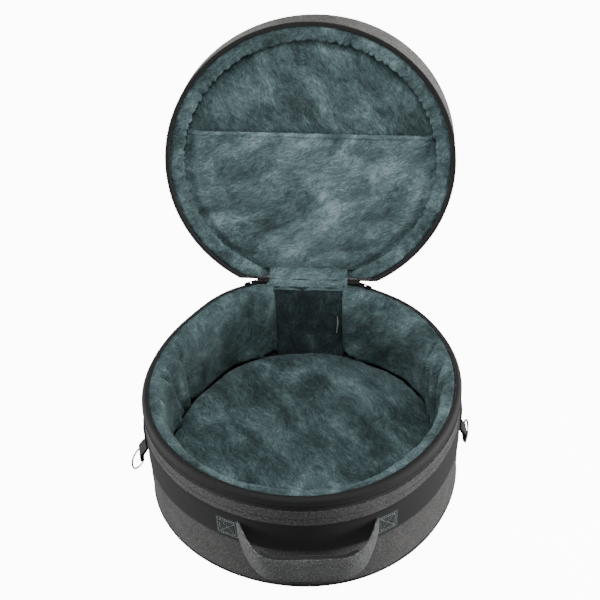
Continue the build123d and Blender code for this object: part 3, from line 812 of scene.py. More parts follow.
def fold_depth(angle, height):
    """How far the folds pull the padding back from the inside, at an angle and height."""
    down = max(0.0, min(1.0, (RIM_Z - height) / (RIM_Z - PAD_LOW)))
    total = 0.0
    for top, foot, bend, depth, width, lip in FOLDS:
        at = math.radians(top + (foot - top) * down + bend * math.sin(math.pi * down))
        off = wrap(angle - at) * PAD_R / MM
        reach = 0.35 + 0.65 * ease(0.0, 0.14, down)
        total += depth * reach * math.exp(-abs(off) / width)
        total -= abs(lip) * reach * bump(off - math.copysign(2.2 * width, lip), 1.6 * width)
    return total * MM


def pad_edge(angle, height):
    """Rounding of the padding where it ends at the hinge gap, above a rounded corner."""
    arc = (PAD_SWEEP / 2 - abs(wrap(angle - PAD_START - PAD_SWEEP / 2))) * PAD_R
    corner = 34 * MM
    up = height - PAD_LOW
    inside = arc
    if up < corner and arc < corner:
        inside = corner - math.hypot(corner - up, corner - arc)
    return inside


def wall_pad():
    outline = [(r * MM, z * MM) for r, z in smooth_line(PAD_LINE, 58)]
    pad = spun("wall_padding_plush", outline, PAD_START, PAD_SWEEP, 540)
    bevel = 24 * MM

    def move(place):
        angle = math.atan2(place.y, place.x)
        radius = place.xy.length
        inside = pad_edge(angle, place.z)
        lean = max(0.0, min(1.0, inside / bevel))
        back = bevel * (1 - math.sqrt(1 - (1 - lean) ** 2))
        face = ease(288 * MM, 270 * MM, radius)
        grow = back + fold_depth(angle, place.z) * face
        grow -= 9 * MM * bump(inside - 26 * MM, 30 * MM) * face
        grow += uneven(place, 75 * MM, 4.0 * MM, 3.0) * face
        grow += uneven(place, 28 * MM, 1.3 * MM, 7.0) * face
        ripple = math.sin(angle * 118 + 5 * noise.noise(place / (40 * MM)))
        grow += ripple * 0.7 * MM * bump(place.z - 236 * MM, 9 * MM)
        radius = min(radius + grow, WALL_FOAM_R)
        if inside < 0:
            radius = 284 * MM
        return Vector((radius * math.cos(angle), radius * math.sin(angle), place.z))

    shape(pad, move)
    hold_in_front(pad, PAD_BACK_Y)
    fur(pad, 0.6 * MM)
    thicken(pad, 5 * MM, outward_side(pad))
    smooth(pad)
    dress(pad, PLUSH_WALL, "tub", ["wall_lining", "wall_padding"])


def fur(piece, depth):
    """Fine unevenness of the pile, along the normals."""
    normals = [vertex.normal.copy() for vertex in piece.data.vertices]
    for vertex, normal in zip(piece.data.vertices, normals):
        vertex.co += normal * noise.fractal(vertex.co / (9 * MM), 0.9, 2.0, 2) * depth
    piece.data.update()
    return piece


def plump(piece, voxel, pressure, most):
    """Blow a closed pad up as cloth, no point moving further than the most, and keep the result."""
    pick(piece)
    piece.data.remesh_voxel_size = voxel
    bpy.ops.object.voxel_remesh()
    before = [vertex.co.copy() for vertex in piece.data.vertices]
    cloth = piece.modifiers.new("cloth", "CLOTH")
    cloth.settings.quality = 4
    cloth.settings.mass = 0.3
    cloth.settings.use_pressure = True
    cloth.settings.uniform_pressure_force = pressure
    cloth.settings.effector_weights.gravity = 0
    for step in range(1, 21):
        bpy.context.scene.frame_set(step)
    bpy.ops.object.modifier_apply(modifier=cloth.name)
    bpy.context.scene.frame_set(1)
    for vertex, start in zip(piece.data.vertices, before):
        moved = vertex.co - start
        if moved.length > most:
            vertex.co = start + moved * (most / moved.length)
    piece.data.update()
    return piece


def floor_cushion():
    """Crowned round cushion, its edge tucked under the wall padding."""
    rim = CUSHION_R + 10 * MM
    line = [(0.4 * MM, CUSHION_TOP - 1 * MM)]
    line += [(rim * i / 40, CUSHION_TOP - 1 * MM - 8 * MM * (i / 40) ** 3) for i in range(1, 37)]
    line += [(rim - 8 * MM, CUSHION_TOP - 11.5 * MM), (rim - 2 * MM, CUSHION_TOP - 16 * MM),
             (rim, CUSHION_TOP - 22 * MM), (rim - 1 * MM, FLOOR_Z + 2 * MM), (rim - 4 * MM, FLOOR_Z)]
    line += [(rim * i / 6, FLOOR_Z) for i in range(5, 0, -1)] + [(0.4 * MM, FLOOR_Z)]
    pad = spun("floor_cushion_plush", line, TURN + math.pi / 2, 2 * math.pi, 220)

    def move(place):
        top = ease(FLOOR_Z + 8 * MM, FLOOR_Z + 20 * MM, place.z)
        lift = uneven(Vector((place.x, place.y, 0)), 120 * MM, 3.0 * MM, 11.0)
        lift += uneven(Vector((place.x, place.y, 0)), 40 * MM, 1.4 * MM, 13.0)
        place.z += top * lift
        return place

    shape(pad, move)
    hold_in_front(pad, PAD_BACK_Y - 2 * MM)
    close_ends(pad)
    plump(pad, 6 * MM, 3.0, 3.5 * MM)
    shape(pad, lambda p: Vector((p.x, p.y, max(p.z, FLOOR_Z))))
    finish_with(pad, "SUBSURF", levels=1, render_levels=1)
    fur(pad, 0.7 * MM)
    smooth(pad)
    dress(pad, PLUSH_FLOOR, "tub",
          ["floor_cushion_cover", "floor_cushion_foam", "base_foam", "base_board"])


def back_panel():
    """Plush between the two ends of the padding, with an upright seam; its plush is darkened as painted
    shade for the recess.
    """
    half = PAD_GAP_HALF + 4 * MM
    low, high = FLOOR_Z + 4 * MM, RIM_Z - 5 * MM
    panel = cloth_grid("back_lining_plush", 60, 70)

    def move(place):
        x = place.x * half
        z = low + (place.y + 1) / 2 * (high - low)
        y = 267 * MM - 2.0 * MM * bump(place.y - 0.1, 0.7) * (1 - place.x ** 2)
        y += 2.2 * MM * math.exp(-abs(x - BACK_SEAM_X) / (3.5 * MM))
        y += uneven(Vector((x, 0, z)), 50 * MM, 1.5 * MM, 17.0)
        return turned(Vector((x, y, z)))

    shape(panel, move)
    thicken(panel, 2.5 * MM, outward_side(panel))
    finish_with(panel, "SUBSURF", levels=1, render_levels=1)
    smooth(panel)
    # darker plush on the back panel: painted shade for its recess
    dress(panel, PLUSH_BACK_PAINTED_SHADE, "tub", ["back_lining"])


def label():
    """Care label sewn in beside the right end of the padding; plain, with no printing."""
    tag = cloth_grid("care_label_satin", 6, 14)
    low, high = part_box("care_label")

    def move(place):
        y = low.y + (place.x + 1) / 2 * (high.y - low.y)
        z = low.z + (place.y + 1) / 2 * (high.z - low.z)
        x = (low.x + high.x) / 2 + 2.0 * MM * math.sin(place.y * 1.6) * (1 - place.x) / 2
        return Vector((x, y, z))

    shape(tag, move)
    thicken(tag, 0.5 * MM, 0)
    smooth_by_angle(tag)
    dress(tag, SATIN, "tub", ["care_label"])


# ---- lid ----

def lid_flatten(piece, limit=LID_FLAT_Y):
    def move(place):
        place.y = min(place.y, limit)
        return place
    return shape(piece, move)


def slack(place):
    """The lid's canvas stands out more towards its back, most on the upper right."""
    deep = max(0.0, min(1.0, (place.z - LID_FACE_Z) / LID_DEPTH))
    side = bump(wrap(math.atan2(place.y, place.x) + math.radians(50)), math.radians(42))
    grow = 1 + (1.5 + 10 * side) * MM * deep / LID_R
    return Vector((place.x * grow, place.y * grow, place.z))


def lid_shell():
    """Canvas side and top of the lid in their two panels, with a turned top edge."""
    side = [(LID_R - 0.2 * MM, LID_FACE_Z + 5 * MM)]
    side += upright(LID_R, LID_FACE_Z + 8 * MM, LID_TOP_Z - 3 * MM, 6)
    wall = spun("lid_side_panel", side, math.pi / 2, 2 * math.pi, 220)
    round_uv(wall, LID_R)
    lid_flatten(shape(wall, slack))
    thicken(wall, 2.2 * MM, -outward_side(wall))
    fold_open(wall)
    smooth_by_angle(wall, 50)
    dress(wall, CANVAS_LID, "lid", ["lid_side_canvas"])
    top = [(LID_R - 0.1 * MM, LID_TOP_Z - 5 * MM), (LID_R - 0.3 * MM, LID_TOP_Z - 2.4 * MM),
           (LID_R - 1.6 * MM, LID_TOP_Z - 0.6 * MM), (LID_R - 5 * MM, LID_TOP_Z - 0.1 * MM)]
    top += [((LID_R - 5 * MM) * i / 16, LID_TOP_Z - 0.1 * MM) for i in range(15, 0, -1)]
    top += [(0.4 * MM, LID_TOP_Z - 0.1 * MM)]
    cover = spun("lid_top_panel", top, math.pi / 2, 2 * math.pi, 220)
    lid_flatten(shape(cover, slack), LID_FLAT_Y - 0.1 * MM)
    flat_uv(cover)
    thicken(cover, 2.2 * MM, -upper_side(cover))
    fold_open(cover)
    smooth_by_angle(cover, 50)
    dress(cover, CANVAS_LID, "lid", ["lid_top_canvas", "lid_foam"])


def flat_uv(piece):
    layer = piece.data.uv_layers.active or piece.data.uv_layers.new(name="cloth")
    for loop in piece.data.loops:
        place = piece.data.vertices[loop.vertex_index].co
        layer.data[loop.index].uv = (place.x, place.y)
    return piece


def lid_edge():
    """Black tape bound round the lid's edge, with a narrow lip that carries the zip."""
    line = [(LID_R - 5.5 * MM, LID_FACE_Z + 3.2 * MM), (LID_R - 4.2 * MM, LID_FACE_Z + 0.6 * MM),
            (LID_R - 1.5 * MM, LID_FACE_Z - 0.0 * MM), (LID_R + 2.4 * MM, LID_FACE_Z + 0.1 * MM),
            (LID_R + 2.6 * MM, LID_FACE_Z + 1.5 * MM), (LID_R + 0.9 * MM, LID_FACE_Z + 2.2 * MM),
            (LID_R + 0.6 * MM, LID_FACE_Z + 6.4 * MM), (LID_R + 0.1 * MM, LID_FACE_Z + 7.4 * MM)]
    edge = spun("lid_edge_binding", line, math.pi / 2, 2 * math.pi, 260)
    lid_flatten(edge, LID_FLAT_Y + 0.4 * MM)
    thicken(edge, 1.0 * MM, 0)
    fold_open(edge)
    smooth_by_angle(edge, 60)
    dress(edge, TAPE_BLACK, "lid", ["lid_edge_tape"])


ROLL_HALF_GAP = math.asin(ROLL_GAP_HALF / (LID_R - 22 * MM))


def roll():
    """Puckered plush roll round the inside of the lid, its two ends drawn to rounded points."""
    middle_r = (ROLL_R_IN + ROLL_R_OUT) / 2
    half_w = (ROLL_R_OUT - ROLL_R_IN) / 2
    depth = LINING_Z - LID_FACE_Z - 1.0 * MM
    count = 30
    section = []
    for i in range(count):
        a = 2 * math.pi * i / count
        across = math.copysign(abs(math.cos(a)) ** 0.8, math.cos(a))
        down = math.copysign(abs(math.sin(a)) ** 0.85, math.sin(a))
        section.append((middle_r + half_w * across, LINING_Z - depth / 2 - depth / 2 * down))
    start = math.pi / 2 + ROLL_HALF_GAP
    sweep = 2 * math.pi - 2 * ROLL_HALF_GAP
    ring = spun("lid_roll_plush", section + section[:1], start, sweep, 420)
    close_ends(ring)
    taper = 40 * MM

    def move(place):
        angle = math.atan2(place.y, place.x)
        inside = (sweep / 2 - abs(wrap(angle - start - sweep / 2))) * middle_r
        narrow = math.sqrt(max(0.0, 1 - (1 - min(1.0, inside / taper)) ** 2)) * 0.86 + 0.14
        off_r = (place.xy.length - middle_r)
        off_z = place.z - LINING_Z
        gather = noise.noise(Vector((angle * 17, 0.0, 2.0))) * 1.6
        pucker = math.sin(angle * 96 + 7 * noise.noise(Vector((angle * 9, 1.0, 0.0))))
        inner = ease(0.1, -1.0, off_r / half_w)
        outer = ease(0.3, 1.0, off_r / half_w)
        face = ease(-2 * MM, -12 * MM, off_z)
        pucker *= 0.35 + 1.1 * abs(noise.noise(Vector((angle * 13, 4.0, 0.0))))
        press = (pucker * (4.2 * inner + 2.0 * outer) + 1.6 * gather) * MM
        off_z = off_z - press * face * 0.8
        off_r = off_r * (1 + (0.22 * pucker + 0.08 * gather) * inner)
        lump = uneven(place, 60 * MM, 1.8 * MM, 23.0)
        off_z -= lump * face
        seam = math.exp(-abs(wrap(angle - math.radians(181))) * middle_r / (2.2 * MM))
        off_z += seam * 3.0 * MM * face
        radius = middle_r + half_w * 0.35 * (1 - narrow) + off_r * narrow
        return Vector((radius * math.cos(angle), radius * math.sin(angle), LINING_Z + off_z * narrow))

    shape(ring, move)
    lid_flatten(ring, LID_FLAT_Y - 4 * MM)
    finish_with(ring, "SUBSURF", levels=1, render_levels=1)
    fur(ring, 0.7 * MM)
    fold_open(ring)
    smooth(ring)
    dress(ring, PLUSH_ROLL, "lid", ["lid_roll_cover", "lid_roll_wadding"])


def disc(name, radius, height, rings, steps):
    line = [(0.4 * MM + radius * i / rings, height) for i in range(rings + 1)]
    return spun(name, line, math.pi / 2, 2 * math.pi, steps)


def lid_lining_panel():
    """Plush over the foam of the lid, seen above the pocket."""
    panel = disc("lid_lining_plush", LINING_R, LINING_Z, 44, 200)
    lid_flatten(panel, LID_FLAT_Y - 4 * MM)

    def move(place):
        rim = ease(222 * MM, 248 * MM, place.xy.length)
        lift = uneven(place, 95 * MM, 2.5 * MM, 31.0) + uneven(place, 35 * MM, 1.0 * MM, 33.0)
        place.z += (lift - 5.5 * MM) * (1 - rim)
        return place

    shape(panel, move)
    thicken(panel, 1.5 * MM, upper_side(panel))
    fur(panel, 0.6 * MM)
    fold_open(panel)
    smooth(panel)
    dress(panel, PLUSH_LID, "lid", ["lid_lining"])


def mouth_line(x):
    return MOUTH_Y + MOUTH_SLOPE * x


def pocket_height(x, y):
    """Height of the pocket's face in the shut lid; lower is nearer to the viewer when open."""
    radius = math.hypot(x, y)
    tuck = ease(224 * MM, 250 * MM, radius)
    crease = ease(POCKET_BACK_Y - 26 * MM, POCKET_BACK_Y + 2 * MM, y)
    belly = bump(y - 70 * MM, 130 * MM) * (1 - ease(120 * MM, 235 * MM, radius))
    face = POCKET_Z - 1.0 * MM - 4.5 * MM * belly
    face += uneven(Vector((x, y, 0)), 85 * MM, 2.6 * MM, 41.0)
    face += uneven(Vector((x, y, 0)), 30 * MM, 0.8 * MM, 43.0)
    return face + (LINING_Z - 3 * MM - face) * max(tuck, crease)


def pocket():
    """Loose plush pocket over the lower part of the lid."""
    sheet = cloth_grid("lid_pocket_plush", 150, 100)

    def move(place):
        y = MOUTH_Y + (place.y + 1) / 2 * (POCKET_BACK_Y - MOUTH_Y)
        half = math.sqrt(max(POCKET_R ** 2 - y ** 2, (50 * MM) ** 2))
        x = place.x * half
        y += MOUTH_SLOPE * x * (1 - (place.y + 1) / 2)
        return Vector((x, y, pocket_height(x, y)))

    shape(sheet, move)
    thicken(sheet, 2.4 * MM, upper_side(sheet))
    fur(sheet, 0.5 * MM)
    fold_open(sheet)
    smooth(sheet)
    dress(sheet, PLUSH_POCKET, "lid", ["pocket_panel"])


def pocket_hem():
    """Folded hem along the pocket's mouth, with its two rows of stitches."""
    hem = cloth_grid("pocket_hem_plush", 190, 10)
    rows = (-0.72, 0.62)
    half = math.sqrt(POCKET_R ** 2 - MOUTH_Y ** 2) - 2 * MM

    def hem_place(s, t, off=0.0):
        x = s * half
        y = mouth_line(x) - 1.0 * MM + (t + 1) / 2 * HEM_W
        crown = 1.3 * MM * math.sqrt(max(0.0, 1 - abs(t) ** 3))
        dent = 0.8 * MM * sum(bump(t - row, 0.12) for row in rows)
        wave = 0.5 * MM * noise.noise(Vector((x / (22 * MM), 3.0, 0.0)))
        return Vector((x, y, pocket_height(x, y) - 0.8 * MM - crown + dent + wave - off))

    shape(hem, lambda p: hem_place(p.x, p.y))
    thicken(hem, 2.0 * MM, upper_side(hem))
    fur(hem, 0.35 * MM)
    fold_open(hem)
    smooth(hem)
    dress(hem, PLUSH_POCKET, "lid", ["pocket_hem"])
    count = int(2 * half / (5.0 * MM))
    places = []
    for t in rows:
        for i in range(1, count):
            s = -1 + 2 * i / count
            here = OPEN_MATRIX @ hem_place(s, t, 0.1 * MM)
            there = OPEN_MATRIX @ hem_place(s + 0.01, t, 0.1 * MM)
            places.append((here, there - here))
    dress(sew("hem_stitches", places, 0.4 * MM, 3.4 * MM), THREAD_TEAL, "lid")


# ---- soft hinge ----

def bent_sheet(name, line, half, columns, rows):
    """Strip of cloth across the hinge, through a line of (y, z) places in the hinge frame."""
    points = smooth_line(line, rows + 1)
    sheet = cloth_grid(name, columns, rows)
    length = line_length(points)
    lay_uv(sheet, 2 * half, length)

    def move(place):
        spot = on_line(points, (place.y + 1) / 2)
        return Vector((place.x * half, spot.x, spot.y))
    shape(sheet, move)
    return sheet, length


def hinge_lining():
    """Plush over the soft hinge, from the back panel up to the crease in the lid."""
    crease_y, crease_z = folded_open(POCKET_BACK_Y - 3 * MM, LINING_Z - 7 * MM)
    line = [(264.5 * MM, RIM_Z - 12 * MM), (267.5 * MM, RIM_Z - 4.5 * MM), (273 * MM, RIM_Z + 1 * MM),
            (281 * MM, RIM_Z + 4.5 * MM), (crease_y - 3 * MM, crease_z - 2.5 * MM),
            (crease_y, crease_z + 2.5 * MM)]
    sheet, length = bent_sheet("hinge_lining_plush", line, HINGE_HALF, 60, 26)

    def soften(place):
        lift = uneven(place, 30 * MM, 1.8 * MM, 51.0)
        lift -= 1.6 * MM * math.exp(-abs(place.x - BACK_SEAM_X) / (3 * MM))
        lift -= 1.5 * MM * math.exp(-abs(place.y - CREASE_LINE_Y) / (1.6 * MM))
        return turned(place + Vector((0, -0.35, 0.9)) * lift)

    shape(sheet, soften)
    thicken(sheet, 2.2 * MM, -upper_side(sheet))
    finish_with(sheet, "SUBSURF", levels=1, render_levels=1)
    fur(sheet, 0.4 * MM)
    smooth(sheet)
    dress(sheet, PLUSH_POCKET, None, ["hinge_lining"])
    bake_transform(sheet)
    row = straight_row(turned(Vector((-HINGE_HALF, 266.4 * MM, RIM_Z - 5.0 * MM))),
                       turned(Vector((HINGE_HALF, 266.4 * MM, RIM_Z - 5.0 * MM))), 4.6 * MM)
    dress(sew("hinge_stitches", row, 0.5 * MM, 3.0 * MM), THREAD_TEAL, "tub")


def hinge_flap():
    """Canvas flap outside the hinge, from the tub's back flat to the lid."""
    line = [(BACK_Y + 1.6 * MM, STRIP_TOP - 2 * MM), (BACK_Y + 2.4 * MM, RIM_Z - 14 * MM),
            (BACK_Y + 4.6 * MM, RIM_Z - 4 * MM), folded_open(LID_FLAT_Y + 1.8 * MM, LID_FACE_Z + 11 * MM)]
    flap, length = bent_sheet("hinge_canvas_flap", line, FLAT_HALF_W, 70, 20)
    shape(flap, lambda p: turned(p + Vector((0, 1, 0)) * uneven(p, 45 * MM, 1.2 * MM, 61.0)))
    thicken(flap, 1.5 * MM, 0)
    smooth_by_angle(flap)
    dress(flap, CANVAS, None, ["hinge_canvas"])
    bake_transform(flap)


def back_flat():
    """Tape-covered flat of the tub under the hinge flap."""
    back = cloth_grid("back_flat_canvas", 60, 12)
    low, high = STRIP_TOP - 3 * MM, RIM_Z - 3 * MM
    lay_uv(back, 2 * FLAT_HALF_W, high - low)
    shape(back, lambda p: turned(Vector((p.x * (FLAT_HALF_W + 3 * MM), BACK_Y - 0.3 * MM,
                                         low + (p.y + 1) / 2 * (high - low)))))
    thicken(back, 2.2 * MM, 0)
    smooth_by_angle(back)
    dress(back, TAPE_BLACK, "tub", ["back_canvas"])


# ---- carry handle ----

STRAP_H = 48 * MM
STRAP_LENGTH = 310 * MM
STRAP_BEND = 5.2            # how tightly the strap bends next to its ends
STRAP_LEAN = 5 * MM         # how far the strap's upper edge leans in, at its middle
GRIP_SHARE = 6 / 8          # share of the strap that the grip covers
HANDLE_TURN = math.radians(1.4)
PATCH_SPAN = 148.5 * MM     # handle middle to a patch middle, along the wall
PATCH_W = 46 * MM
PATCH_BORDERS = (0.84, 0.66)  # the two rows of stitches, as shares of the half size
HANDLE_Z = (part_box("handle_patch_left")[0].z + top_of("handle_patch_left")) / 2
HANDLE_OUT = 46 * MM
HANDLE_DROOP = 30 * MM


def handled(place):
    return Matrix.Rotation(HANDLE_TURN, 3, "Z") @ place


def strap_place(along, height, depth):
    """A place on the bowed strap: along it, up its height, and in from its outside face."""
    angle = PATCH_SPAN / BAND_R - (PATCH_W / 2 + 1 * MM) / BAND_R
    reach = BAND_R + 4 * MM
    end_x, end_y = reach * math.sin(angle), -reach * math.cos(angle)
    bow = TUB_R + HANDLE_OUT + end_y
    share = 1 - abs(along) ** STRAP_BEND
    slope = STRAP_BEND * abs(along) ** (STRAP_BEND - 1) * bow / end_x
    turn = math.atan(math.copysign(slope, along))
    place = Vector((along * end_x, end_y - bow * share, HANDLE_Z - HANDLE_DROOP * share))
    return handled(place + Vector((-math.sin(turn), math.cos(turn), 0)) * depth + Vector((0, 0, height)))


def patch_place(side, across, height, out):
    angle = -math.pi / 2 + side * PATCH_SPAN / BAND_R + across / BAND_R
    radius = BAND_R + out
    return handled(Vector((radius * math.cos(angle), radius * math.sin(angle), HANDLE_Z + height)))


def patches():
    """Ends of the strap sewn flat on the band, with a double border of stitches and a cross."""
    for side, word in ((-1, "left"), (1, "right")):
        patch = cloth_grid("handle_patch_" + word + "_webbing", 30, 30)
        lay_uv(patch, STRAP_H, PATCH_W)
        half_w, half_h = PATCH_W / 2, STRAP_H / 2

        def move(place, half_w=half_w, half_h=half_h, side=side):
            edge = max(abs(place.x), abs(place.y))
            crown = 2.4 * MM - 1.2 * MM * ease(0.86, 1.0, edge)
            border = sum(bump(edge - at, 0.045) for at in PATCH_BORDERS)
            cross = (bump(place.x - place.y, 0.09) + bump(place.x + place.y, 0.09))
            cross *= edge < PATCH_BORDERS[1]
            crown -= 0.9 * MM * min(1.0, border + cross)
            crown += 0.5 * MM * noise.noise(Vector((place.x * 2, place.y * 2, side)))
            return patch_place(side, place.x * half_w, place.y * half_h, crown)

        shape(patch, move)
        thicken(patch, 1.8 * MM, -1 if patch_faces_out(patch) else 1)
        finish_with(patch, "SUBSURF", levels=1, render_levels=1)
        smooth_by_angle(patch, 60)
        dress(patch, PATCH_WEB, "tub", ["handle_patch_" + word])
        rows = []
        for ring in PATCH_BORDERS:
            corners = [(-ring, -ring), (ring, -ring), (ring, ring), (-ring, ring), (-ring, -ring)]
            rows += patch_row(side, corners, half_w, half_h)
        rows += patch_row(side, [(-0.64, -0.64), (0.64, 0.64)], half_w, half_h)
        rows += patch_row(side, [(-0.64, 0.64), (0.64, -0.64)], half_w, half_h)
        dress(sew("patch_stitches_" + word, rows, 0.62 * MM, 3.2 * MM), THREAD, "tub")


def patch_faces_out(piece):
    face = piece.data.polygons[len(piece.data.polygons) // 2]
    return face.normal.dot(Vector((face.center.x, face.center.y, 0))) > 0


def patch_row(side, corners, half_w, half_h):
    places = []
    for (ax, ay), (bx, by) in zip(corners, corners[1:]):
        length = math.hypot((bx - ax) * half_w, (by - ay) * half_h)
        count = max(2, int(length / (3.9 * MM)))
        for i in range(count):
            a, b = (i + 0.2) / count, (i + 0.8) / count
            here, there = [
                patch_place(side, (ax + (bx - ax) * t) * half_w, (ay + (by - ay) * t) * half_h, 2.1 * MM)
                for t in (a, b)]
            places.append(((here + there) / 2, there - here))
    return places


def strap():
    """Melange webbing bowed out between the patches; it bends next to them."""
    web = cloth_grid("handle_strap_webbing", 150, 16)
    lay_uv(web, STRAP_LENGTH, STRAP_H)

    def move(place):
        height = place.y * STRAP_H / 2
        roll_in = 1.5 * MM * abs(place.y) ** 6
        lean = STRAP_LEAN * (1 - place.x ** 2) * place.y
        wave = 0.8 * MM * noise.noise(Vector((place.x * 5, place.y, 9.0)))
        line = 0.5 * MM * (bump(place.y - 0.86, 0.05) + bump(place.y + 0.86, 0.05))
        return strap_place(place.x * 1.03, height, roll_in + lean + wave + line)

    shape(web, move)
    thicken(web, 2.4 * MM, 1 if web.data.polygons[len(web.data.polygons) // 2].normal.y < 0 else -1)
    smooth_by_angle(web, 60)
    dress(web, STRAP_CLOTH, None, ["handle_strap"])
    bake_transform(web)
    rows = []
    for height in (STRAP_H * 0.43, -STRAP_H * 0.43):
        count = 66
        for i in range(2, count - 1):
            s = -1 + 2 * i / count
            lean = STRAP_LEAN * (1 - s * s) * height / (STRAP_H / 2)
            here = strap_place(s, height, lean - 0.25 * MM)
            there = strap_place(s + 0.012, height, lean - 0.25 * MM)
            rows.append((here, there - here))
    thread = sew("strap_stitches", rows, 0.42 * MM, 2.8 * MM)
    dress(thread, THREAD_DARK, None)
    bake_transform(thread)


def grip():
    """Padded grip behind the strap, covered in spacer mesh, thinner at its rounded edges."""
    clear_selection()
    bpy.ops.mesh.primitive_cube_add(size=2)
    pad = bpy.context.object
    pad.name = "handle_grip_mesh"
    edit(pad)
    bpy.ops.mesh.subdivide(number_cuts=28)
    done()

    def move(place):
        s, t, u = place
        round_off = math.sqrt(max(0.0, 1 - 0.92 * max(abs(t) ** 4, abs(s) ** 10)))
        thick = 16 * MM * (0.32 + 0.68 * round_off)
        depth = 2.8 * MM + (u + 1) / 2 * thick
        depth += 0.9 * MM * noise.noise(Vector((s * 6, t * 2, u))) * (u + 1) / 2
        height = t * (STRAP_H / 2 - 2.6 * MM) * (1 - 0.06 * abs(s) ** 8)
        lean = STRAP_LEAN * (1 - (s * GRIP_SHARE) ** 2) * t
        channel = 1.6 * MM * bump(t, 0.06) * (u > 0.9)
        return strap_place(s * GRIP_SHARE, height, depth + lean - channel)

    shape(pad, move)
    tidy(pad)
    finish_with(pad, "SUBSURF", levels=1, render_levels=1)
    smooth(pad)
    dress(pad, MESH_BLACK, "handle", ["handle_grip"])


# ---- ring tabs ----

TAB_W = 32 * MM


def ring_tab(word, at):
    """Black webbing sewn on the band, looped round the bar of its ring and back under itself."""
    joint = JOINTS[word + "_ring_swing"]
    bar = Vector(joint["pos_m"])
    out = Vector((bar.x, bar.y, 0)).normalized()
    side = Vector((-out.y, out.x, 0))
    bar_r, bar_z = bar.xy.length, bar.z
    top, sewn = top_of("ring_tab_" + word) - 0.5 * MM, bar_z + 34 * MM
    wrap_r = 3.3 * MM
    line = [(BAND_R + 1.4 * MM, top), (BAND_R + 2.8 * MM, top - 8 * MM), (BAND_R + 2.9 * MM, sewn + 6 * MM),
            (BAND_R + 4.2 * MM, sewn - 4 * MM), (bar_r + wrap_r * 0.9, bar_z + 12 * MM)]
    line += [(bar_r + wrap_r * math.cos(a), bar_z + wrap_r * math.sin(a))
             for a in [math.radians(d) for d in (20, -35, -90, -145, -190)]]
    line += [(bar_r - wrap_r * 0.9, bar_z + 12 * MM), (BAND_R + 1.6 * MM, sewn - 6 * MM),
             (BAND_R + 1.2 * MM, sewn + 4 * MM)]
    rows = 90
    points = smooth_line(line, rows + 1)
    length = line_length(points)
    tab = cloth_grid("ring_tab_" + word + "_webbing", rows, 14)
    lay_uv(tab, length, TAB_W)

    def move(place):
        spot = on_line(points, (place.x + 1) / 2)
        narrow = 1 - 0.05 * bump(place.x - 0.35, 0.4)
        wave = 0.25 * MM * noise.noise(Vector((place.x * 6, place.y * 2, at)))
        return out * (spot.x + wave) + side * (place.y * TAB_W / 2 * narrow) + Vector((0, 0, spot.y))

    shape(tab, move)
    shape(tab, lambda p: p.lerp(out_of_round(p), ease(bar_z + 8 * MM, sewn, p.z)))
    thicken(tab, 1.5 * MM, 0)
    smooth_by_angle(tab, 50)
    dress(tab, WEBBING, "tub", ["ring_tab_" + word])
    places = []
    half_w = TAB_W / 2 - 3.5 * MM
    corners = [(-half_w, top - 6 * MM), (half_w, top - 6 * MM), (half_w, sewn + 4 * MM),
               (-half_w, sewn + 4 * MM), (-half_w, top - 6 * MM)]
    for a, b in list(zip(corners, corners[1:])) + [(corners[0], corners[2]), (corners[1], corners[3])]:
        start, end = [out * (BAND_R + 3.7 * MM) + side * across + Vector((0, 0, up))
                      for across, up in (a, b)]
        places += straight_row(start, end, 4 * MM)
    dress(sew("tab_stitches_" + word, places, 0.45 * MM, 2.8 * MM), THREAD_DARK, "tub")


# ---- what stays from the frame ----

def dress_frame():
    for part, finish in (("d_ring", WIRE), ("zip_slider", GUNMETAL), ("zip_pull", GUNMETAL)):
        for word in ("left", "right"):
            node = frame["nodes"][part + "_" + word]
            node.data.materials.clear()
            node.data.materials.append(finish)
            smooth_by_angle(node, 35)


# ---- floor, light, camera ----

FLOOR_GLOW = 11.0           # seen by the camera alone; it lights nothing
SKY_LIGHT = 0.27
CAMERA_AT = (-0.0047, -1.9137, 2.1382)
CAMERA_DOWN = 41.6          # degrees below level
CAMERA_TURN = 0.038         # degrees
LENS = 86.0

# name, place, aim, side in metres, watts
SOFTBOXES = [
    ("top_light", (0.05, -0.9, 2.8), (0, 0.05, 0.2), 1.5, 68),
    ("left_light", (-2.4, -0.1, 0.5), (0, 0, 0.15), 0.9, 62),
    ("right_light", (2.5, -0.1, 0.5), (0, 0, 0.15), 0.9, 92),
]

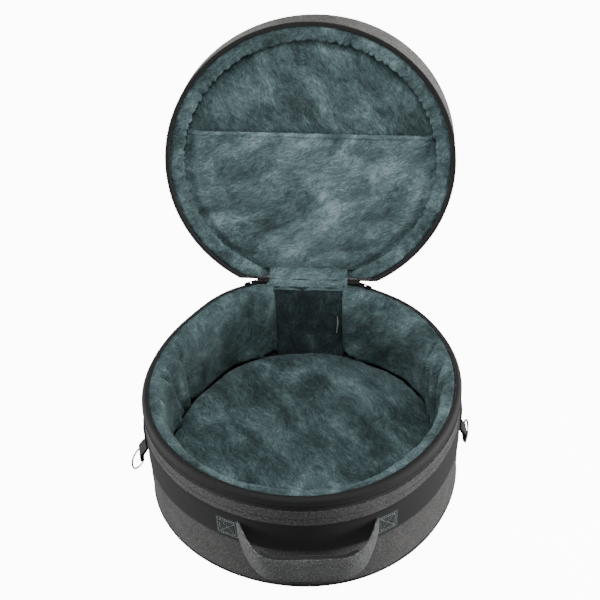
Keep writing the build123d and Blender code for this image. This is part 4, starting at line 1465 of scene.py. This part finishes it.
def studio():
    clear_selection()
    bpy.ops.mesh.primitive_plane_add(size=14, location=(0, 0, -0.2 * MM))
    floor = bpy.context.object
    floor.name = "studio_floor"
    paper = bpy.data.materials.new("pale_studio_floor")
    paper.use_nodes = True
    surface = paper.node_tree.nodes["Principled BSDF"].inputs
    surface["Base Color"].default_value = (0.9, 0.9, 0.9, 1)
    surface["Roughness"].default_value = 0.9
    surface["Emission Color"].default_value = (1, 1, 1, 1)
    surface["Emission Strength"].default_value = FLOOR_GLOW
    floor.data.materials.append(paper)
    floor.visible_diffuse = False
    floor.visible_glossy = False
    world = bpy.data.worlds.new("soft_studio")
    bpy.context.scene.world = world
    world.use_nodes = True
    world.node_tree.nodes["Background"].inputs["Color"].default_value = (0.97, 0.985, 1.0, 1)
    world.node_tree.nodes["Background"].inputs["Strength"].default_value = SKY_LIGHT
    for lamp in SOFTBOXES:
        softbox(*lamp)


def softbox(name, place, target, size, power):
    clear_selection()
    bpy.ops.object.light_add(type="AREA", location=place)
    lamp = bpy.context.object
    lamp.name = name
    lamp.data.shape = "SQUARE"
    lamp.data.size = size
    lamp.data.energy = power
    lamp.rotation_euler = (Vector(target) - Vector(place)).to_track_quat("-Z", "Y").to_euler()


def camera():
    clear_selection()
    bpy.ops.object.camera_add(location=CAMERA_AT,
                              rotation=(math.radians(90 - CAMERA_DOWN), 0, math.radians(CAMERA_TURN)))
    view = bpy.context.object
    view.data.lens = LENS
    view.data.sensor_width = 36
    bpy.context.scene.camera = view


camera()
studio()
tub_outside()
piping()
base()
rim_band()
zip_coil("tub_zip_coil", CHAIN_AT_R, CHAIN_Z, FLAT_HALF + 0.005, "tub", "tub_zip_chain", False)
zip_coil("lid_zip_coil", LID_CHAIN_R, LID_CHAIN_Z, math.acos(LID_FLAT_Y / LID_R) + 0.018,
         "lid", "lid_zip_chain", True)
wall_pad()
floor_cushion()
back_panel()
label()
lid_shell()
lid_edge()
roll()
lid_lining_panel()
pocket()
pocket_hem()
hinge_lining()
hinge_flap()
back_flat()
patches()
strap()
grip()
ring_tab("left", 1.0)
ring_tab("right", 2.0)
dress_frame()
